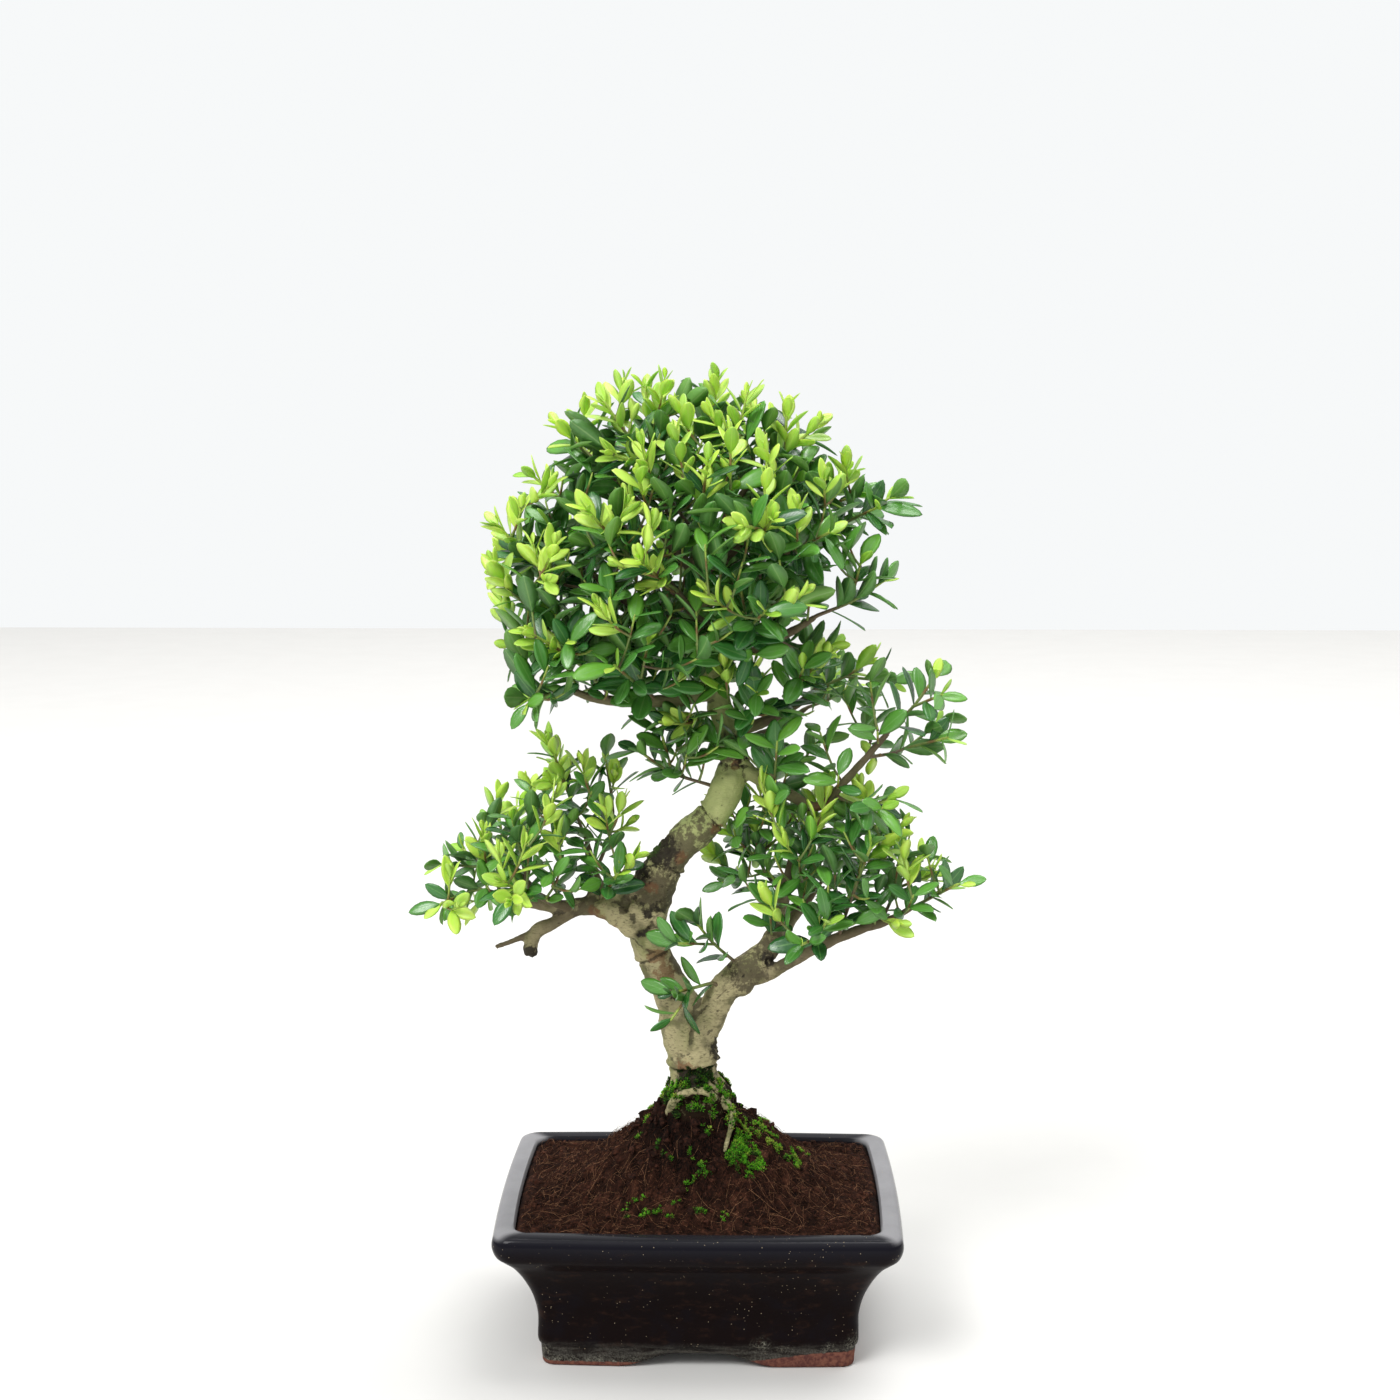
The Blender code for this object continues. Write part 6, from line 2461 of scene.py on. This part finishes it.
class Pad:
    """One cushion of foliage: its sprays, and the space that they fill together."""

    capacity = 60000

    def __init__(self, name: str, sprays: list[Spray], growth: Growth) -> None:
        """Takes the space from the hull of the pad's sprays in the solid model.

        Args:
            name: The pad's name.
            sprays: Its sprays.
            growth: The rule of the fine sprays.
        """
        self.name = name
        self.sprays = sprays
        self.growth = growth
        self.habit = HABITS[name]
        self.light = Vector(growth.light).normalized()
        hull = bmesh.new()
        for spray in sprays:
            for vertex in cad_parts[spray.name].data.vertices:
                hull.verts.new(vertex.co / MM - POT_MIDDLE)
        for corner in self.habit.wider:
            hull.verts.new(corner)
        corners = np.array([vertex.co for vertex in hull.verts])
        bmesh.ops.convex_hull(hull, input=hull.verts)
        hull.normal_update()
        self.low, self.high = corners.min(axis=0), corners.max(axis=0)
        self.normals = np.array([face.normal for face in hull.faces])
        anchors = np.array([face.verts[0].co for face in hull.faces])
        hull.free()
        away = ((anchors - corners.mean(axis=0)) * self.normals).sum(axis=1)
        self.normals *= np.sign(away)[:, None]
        self.offsets = (anchors * self.normals).sum(axis=1)
        for place, outward in self.habit.trimmed:
            self.normals = np.vstack([self.normals, outward])
            self.offsets = np.append(self.offsets, np.dot(place, outward))
        self.places = np.empty((self.capacity, 3))
        self.directions = np.empty((self.capacity, 3))
        self.owners = np.empty(self.capacity, int)
        self.count = 0

    def depth(self, place: Vector) -> tuple[float, Vector]:
        """Works out how deep a place lies in the pad.

        Args:
            place: The place.

        Returns:
            The depth, and the way out.
        """
        depths = self.offsets - self.normals @ np.array(place)
        nearest = int(np.argmin(depths))
        return float(depths[nearest]), Vector(self.normals[nearest])

    def vigour_at(self, tip: Vector, draw: random.Random) -> float:
        """Works out how much new growth a shoot has, by its light and its depth.

        Args:
            tip: The shoot's tip.
            draw: The random numbers.

        Returns:
            The vigour, from 0 to 1.
        """
        depth, outward = self.depth(tip)
        lit = 0.5 + 0.5 * outward.dot(self.light)
        shade = math.exp(-max(0.0, depth - 7.0) / 8.0)
        rise = 0.55 + 0.45 * (tip.z - self.low[2]) / (self.high[2] - self.low[2])
        chance = self.habit.vigour * lit ** 1.9 * shade * rise
        patch = 0.5 + 0.9 * noise.noise(tip / self.growth.patch_width)
        return draw.uniform(0.45, 1.0) if patch < chance else draw.uniform(0.0, 0.11)

    def note(self, path: Any, owner: int, first_share: float) -> None:
        """Notes the places along a path from which shoots may grow.

        Args:
            path: The path's points.
            owner: The number of the spray that such a shoot belongs to.
            first_share: How far along the path the first place is.
        """
        points = [Vector(point[:3]) for point in path]
        steps = max(2, round(path_length(points) / self.growth.sample_step))
        for step in range(steps + 1):
            share = first_share + (self.growth.last_share - first_share) * step / steps
            self.places[self.count], self.directions[self.count] = along_path(points, share)
            self.owners[self.count] = owner
            self.count += 1

    def parent_of(self, target: np.ndarray) -> int | None:
        """Finds the cheapest place from which a shoot can reach a tip.

        Args:
            target: The tip's place.

        Returns:
            The number of the place it grows from, or nothing where none fits.
        """
        away = target - self.places[:self.count]
        lengths = np.linalg.norm(away, axis=1)
        ways = away / np.maximum(lengths, 1e-6)[:, None]
        cosines = (ways * self.directions[:self.count]).sum(axis=1)
        least, most = self.growth.along_parent
        shortest, longest = self.growth.reach
        fits = (lengths > shortest) & (lengths < longest) & (cosines > least) & (cosines < most)
        fits &= ways[:, 2] > self.growth.steepest_drop
        if not fits.any():
            return None
        costs = lengths * (self.growth.upright - ways[:, 2])
        return int(np.argmin(np.where(fits, costs, np.inf)))

    def note_solids(self) -> None:
        """Notes the places on the twigs and branches that the solid model has."""
        of_branch = self.growth.first_shares[0]
        for number, spray in enumerate(self.sprays):
            for stem in spray.stems:
                self.note(stem.points, number, of_branch)
        branches = {row[0]: number for number, row in enumerate(SPRAYS[self.name]) if row[0] != "stem"}
        for branch, number in branches.items():
            self.note(BRANCHES[branch], number, of_branch)
        if self.habit.from_trunk is not None:
            self.note(STEM, len(self.sprays) - 1, self.habit.from_trunk)

    def is_open(self, target: np.ndarray, tips: list[np.ndarray]) -> bool:
        """Tells whether a tip may grow at a place.

        Args:
            target: The place.
            tips: The tips of every shoot so far.

        Returns:
            Whether it lies in the pad, beside the bare trunk and clear of the other tips.
        """
        rule = self.growth
        bay_depth, bay_width = rule.bays
        bay = bay_depth * max(0.0, noise.noise(Vector(target) / bay_width))
        depth = self.depth(target)[0]
        if depth < rule.skin_depth + bay:
            return False
        if target[2] < self.habit.lowest or rule.hides_trunk(Vector(target)):
            return False
        near_surface = max(0.0, 1.0 - depth / rule.open_depth)
        room = self.habit.tip_spacing * (1.0 + self.habit.open_share * near_surface)
        return np.min(np.linalg.norm(np.array(tips) - target, axis=1)) >= room

    def fill(self, tips: list[np.ndarray], wood: BVHTree, near: Neighbours) -> None:
        """Grows shoots into the pad until their tips are evenly spread.

        Args:
            tips: The tips of every shoot of the tree so far.
            wood: The wood's search tree.
            near: What fills the tree so far.
        """
        rule = self.growth
        draw = random.Random(f"{self.name}_fill")
        self.note_solids()
        for _ in range(rule.targets):
            target = np.array([draw.uniform(low, high) for low, high in zip(self.low, self.high)])
            parent = self.parent_of(target) if self.is_open(target, tips) else None
            if parent is None:
                continue
            root, end = Vector(self.places[parent]), Vector(target)
            drop = rule.sag * (end - root).length * UP
            bends = [root.lerp(end, 0.4) - drop, root.lerp(end, 0.75) - 0.75 * drop]
            if any(rule.hides_trunk(bend) for bend in bends):
                continue
            vigour = self.vigour_at(end, draw)
            if vigour < 0.2 and self.depth(end)[0] < rule.dull_depth:
                continue
            shoot = Stem([root, *bends, end], *rule.shoot_radii)
            outer = coarse_tree(shoot.path[1:])
            if outer.overlap(wood) or near.crossed(outer, shoot.box_points()[1:]):
                continue
            shoot.vigour = vigour
            owner = int(self.owners[parent])
            self.sprays[owner].stems.append(shoot)
            near.add(outer, shoot.box_points()[1:])
            self.note(shoot.points, owner, rule.first_shares[1])
            tips.append(target)
        LOG.info("%s: %d stems", self.name, sum(len(spray.stems) for spray in self.sprays))


@dataclass
class Foliage:
    """All the sprays of the tree."""

    growth: Growth = field(default_factory=Growth)
    shoot: ShootFinish = field(default_factory=ShootFinish)
    mature: LeafFinish = LeafFinish(
        "mature_leaf",
        ((0.0, (0.01, 0.07, 0.019)), (0.25, (0.038, 0.185, 0.032)), (0.6, (0.15, 0.4, 0.05))),
        (0.16, 0.36, 0.09), 0.4, 0.2, 0.06)
    underside: LeafFinish = LeafFinish(
        "leaf_underside",
        ((0.0, (0.06, 0.17, 0.05)), (0.3, (0.09, 0.25, 0.05)), (0.6, (0.16, 0.36, 0.06))),
        (0.26, 0.42, 0.14), 0.5, 0.45, 0.06)
    new: LeafFinish = LeafFinish(
        "new_leaf",
        ((0.5, (0.17, 0.46, 0.03)), (0.75, (0.36, 0.66, 0.05)), (1.0, (0.55, 0.8, 0.11))),
        (0.58, 0.78, 0.2), 0.35, 0.36, 0.22)

    def pads(self) -> list[Pad]:
        """Lists every pad with its sprays.

        Returns:
            The pads, not yet grown.
        """
        paths = {"stem": STEM, **BRANCHES}
        pads = []
        for name, rows in SPRAYS.items():
            sprays = [
                Spray(f"{name}_spray_{number:02d}", paths[branch], share, tip)
                for number, (branch, share, *tip) in enumerate(rows, start=1)
            ]
            pads.append(Pad(name, sprays, self.growth))
        return pads

    def grow(self, pads: list[Pad]) -> None:
        """Grows the sprays of the solid model, and then what fills them out.

        Args:
            pads: The pads, not yet grown.
        """
        wood = node_tree("trunk")
        sprays = [spray for pad in pads for spray in pad.sprays]
        stems: list[Occupied] = []
        for spray in sprays:
            spray.grow_stems(wood, stems)
            stems += spray.occupied()
        fixed = [(node_tree(name), Vector(), math.inf) for name in ("pot", "soil", "trunk")]
        for spray in sprays:
            others = [item for other in sprays if other is not spray for item in other.occupied()]
            spray.grow_leaves(fixed + others)
        LOG.info("solid model's leaves: %d", sum(len(spray.leaves) for spray in sprays))
        near = Neighbours()
        for pad in pads:
            for spray in pad.sprays:
                spray.settle(pad, near)
        tips = [np.array(stem.points[-1]) for spray in sprays for stem in spray.stems]
        for pad in pads:
            pad.fill(tips, wood, near)
        for pad in pads:
            for spray in pad.sprays:
                spray.fill_leaves(self.growth, pad, wood, near)
        LOG.info("leaves in all: %d", sum(len(spray.leaves) for spray in sprays))

    def build(self) -> None:
        """Makes every fine spray."""
        finishes = (self.shoot, self.mature, self.underside, self.new)
        materials = [finish.material() for finish in finishes]
        pads = self.pads()
        self.grow(pads)
        for pad in pads:
            for spray in pad.sprays:
                spray.build(materials)


# Studio


@dataclass
class Studio:
    """The pale floor, the soft lights and the camera at the photograph's angle."""

    look_down: float = 0.1524
    look_right: float = -0.0183
    focal_pixels: float = 2069.2
    image_width: float = 1400.0
    sensor_width: float = 36.0
    floor_size: float = 6.0
    floor_tints: tuple[Colour, Colour] = ((0.66, 0.65, 0.63), (0.7, 0.69, 0.67))
    wall_white: Colour = (0.93, 0.945, 0.95)
    surround: float = 0.72
    lights: tuple[tuple[str, Place, float, float], ...] = (
        ("key", (-2.2, -2.6, 3.9), 2.2, 190.0), ("top", (0.9, 0.9, 4.4), 3.2, 170.0),
    )
    light_aim: Place = (0, 0, 0.25)

    def add_camera(self) -> None:
        """Sets the camera where the photograph was taken."""
        data = bpy.data.cameras.new("camera")
        data.sensor_width = self.sensor_width
        data.lens = self.focal_pixels / self.image_width * self.sensor_width
        data.clip_start = 0.05
        camera = add_object("camera", data)
        camera.location = (Vector(VIEWPOINT) + POT_MIDDLE) * MM
        camera.rotation_euler = (math.pi / 2 - self.look_down, 0, -self.look_right)
        bpy.context.scene.camera = camera

    def add_floor(self) -> None:
        """Lays a pale matt floor."""
        half = self.floor_size / 2
        mesh = bpy.data.meshes.new("floor")
        corners = [(-half, -half, 0), (half, -half, 0), (half, half, 0), (-half, half, 0)]
        mesh.from_pydata(corners, [], [(0, 1, 2, 3)])
        made = Recipe("pale_floor", Roughness=0.7, Specular_IOR_Level=0.2)
        tint = made.mix(made.noise(60.0), self.floor_tints[0], self.floor_tints[1])
        mesh.materials.append(made.apply(Base_Color=tint))
        floor = add_object("floor", mesh)
        floor.location.z = -0.0003

    def add_light(self, name: str, place: Place, size: float, power: float) -> None:
        """Hangs a square soft light that faces the tree.

        Args:
            name: The light's name.
            place: Where it hangs, in metres.
            size: The length of its side in metres.
            power: Its power in watts.
        """
        data = bpy.data.lights.new(name, "AREA")
        data.size = size
        data.energy = power
        light = add_object(name, data)
        light.location = place
        aim = Vector(self.light_aim) - Vector(place)
        light.rotation_euler = aim.to_track_quat("-Z", "Y").to_euler()

    def add_surround(self) -> None:
        """Surrounds the scene with near-white light."""
        world = bpy.data.worlds.new("surround")
        bpy.context.scene.world = world
        world.use_nodes = True
        tree = world.node_tree
        plain, seen = tree.nodes["Background"], tree.nodes.new("ShaderNodeBackground")
        for background, strength in ((plain, self.surround), (seen, 1.0)):
            background.inputs["Color"].default_value = (*self.wall_white, 1)
            background.inputs["Strength"].default_value = strength
        ray = tree.nodes.new("ShaderNodeLightPath")
        blend = tree.nodes.new("ShaderNodeMixShader")
        tree.links.new(ray.outputs["Is Camera Ray"], blend.inputs[0])
        tree.links.new(plain.outputs[0], blend.inputs[1])
        tree.links.new(seen.outputs[0], blend.inputs[2])
        tree.links.new(blend.outputs[0], tree.nodes["World Output"].inputs["Surface"])

    def build(self) -> None:
        """Sets up the studio."""
        self.add_floor()
        for light in self.lights:
            self.add_light(*light)
        self.add_surround()
        self.add_camera()
        bpy.context.scene.view_settings.view_transform = "Standard"


def dress_drain_meshes() -> None:
    """Gives the two drainage meshes of the solid model their plastic."""
    material = PlasticFinish().material()
    for name in ("drain_mesh_left", "drain_mesh_right"):
        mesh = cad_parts[name].data
        mesh.materials.clear()
        mesh.materials.append(material)
        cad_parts[name]
        LOG.info("%s: dressed", name)


def write_sizes() -> None:
    """Updates the view layer."""
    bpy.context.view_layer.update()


def main() -> None:
    """Builds every piece in order."""
    logging.basicConfig(level=logging.INFO, format="%(name)s: %(message)s")
    foliage = Foliage()
    foliage.build()
    wood = Wood()
    wood.build()
    pot = Pot()
    pot.build()
    soil = Soil(pot)
    soil.build_ground()
    soil.build_strands()
    soil.build_crumbs()
    Moss().build(soil, wood)
    dress_drain_meshes()
    Studio().build()
    write_sizes()


if __name__ == "__main__":
    main()
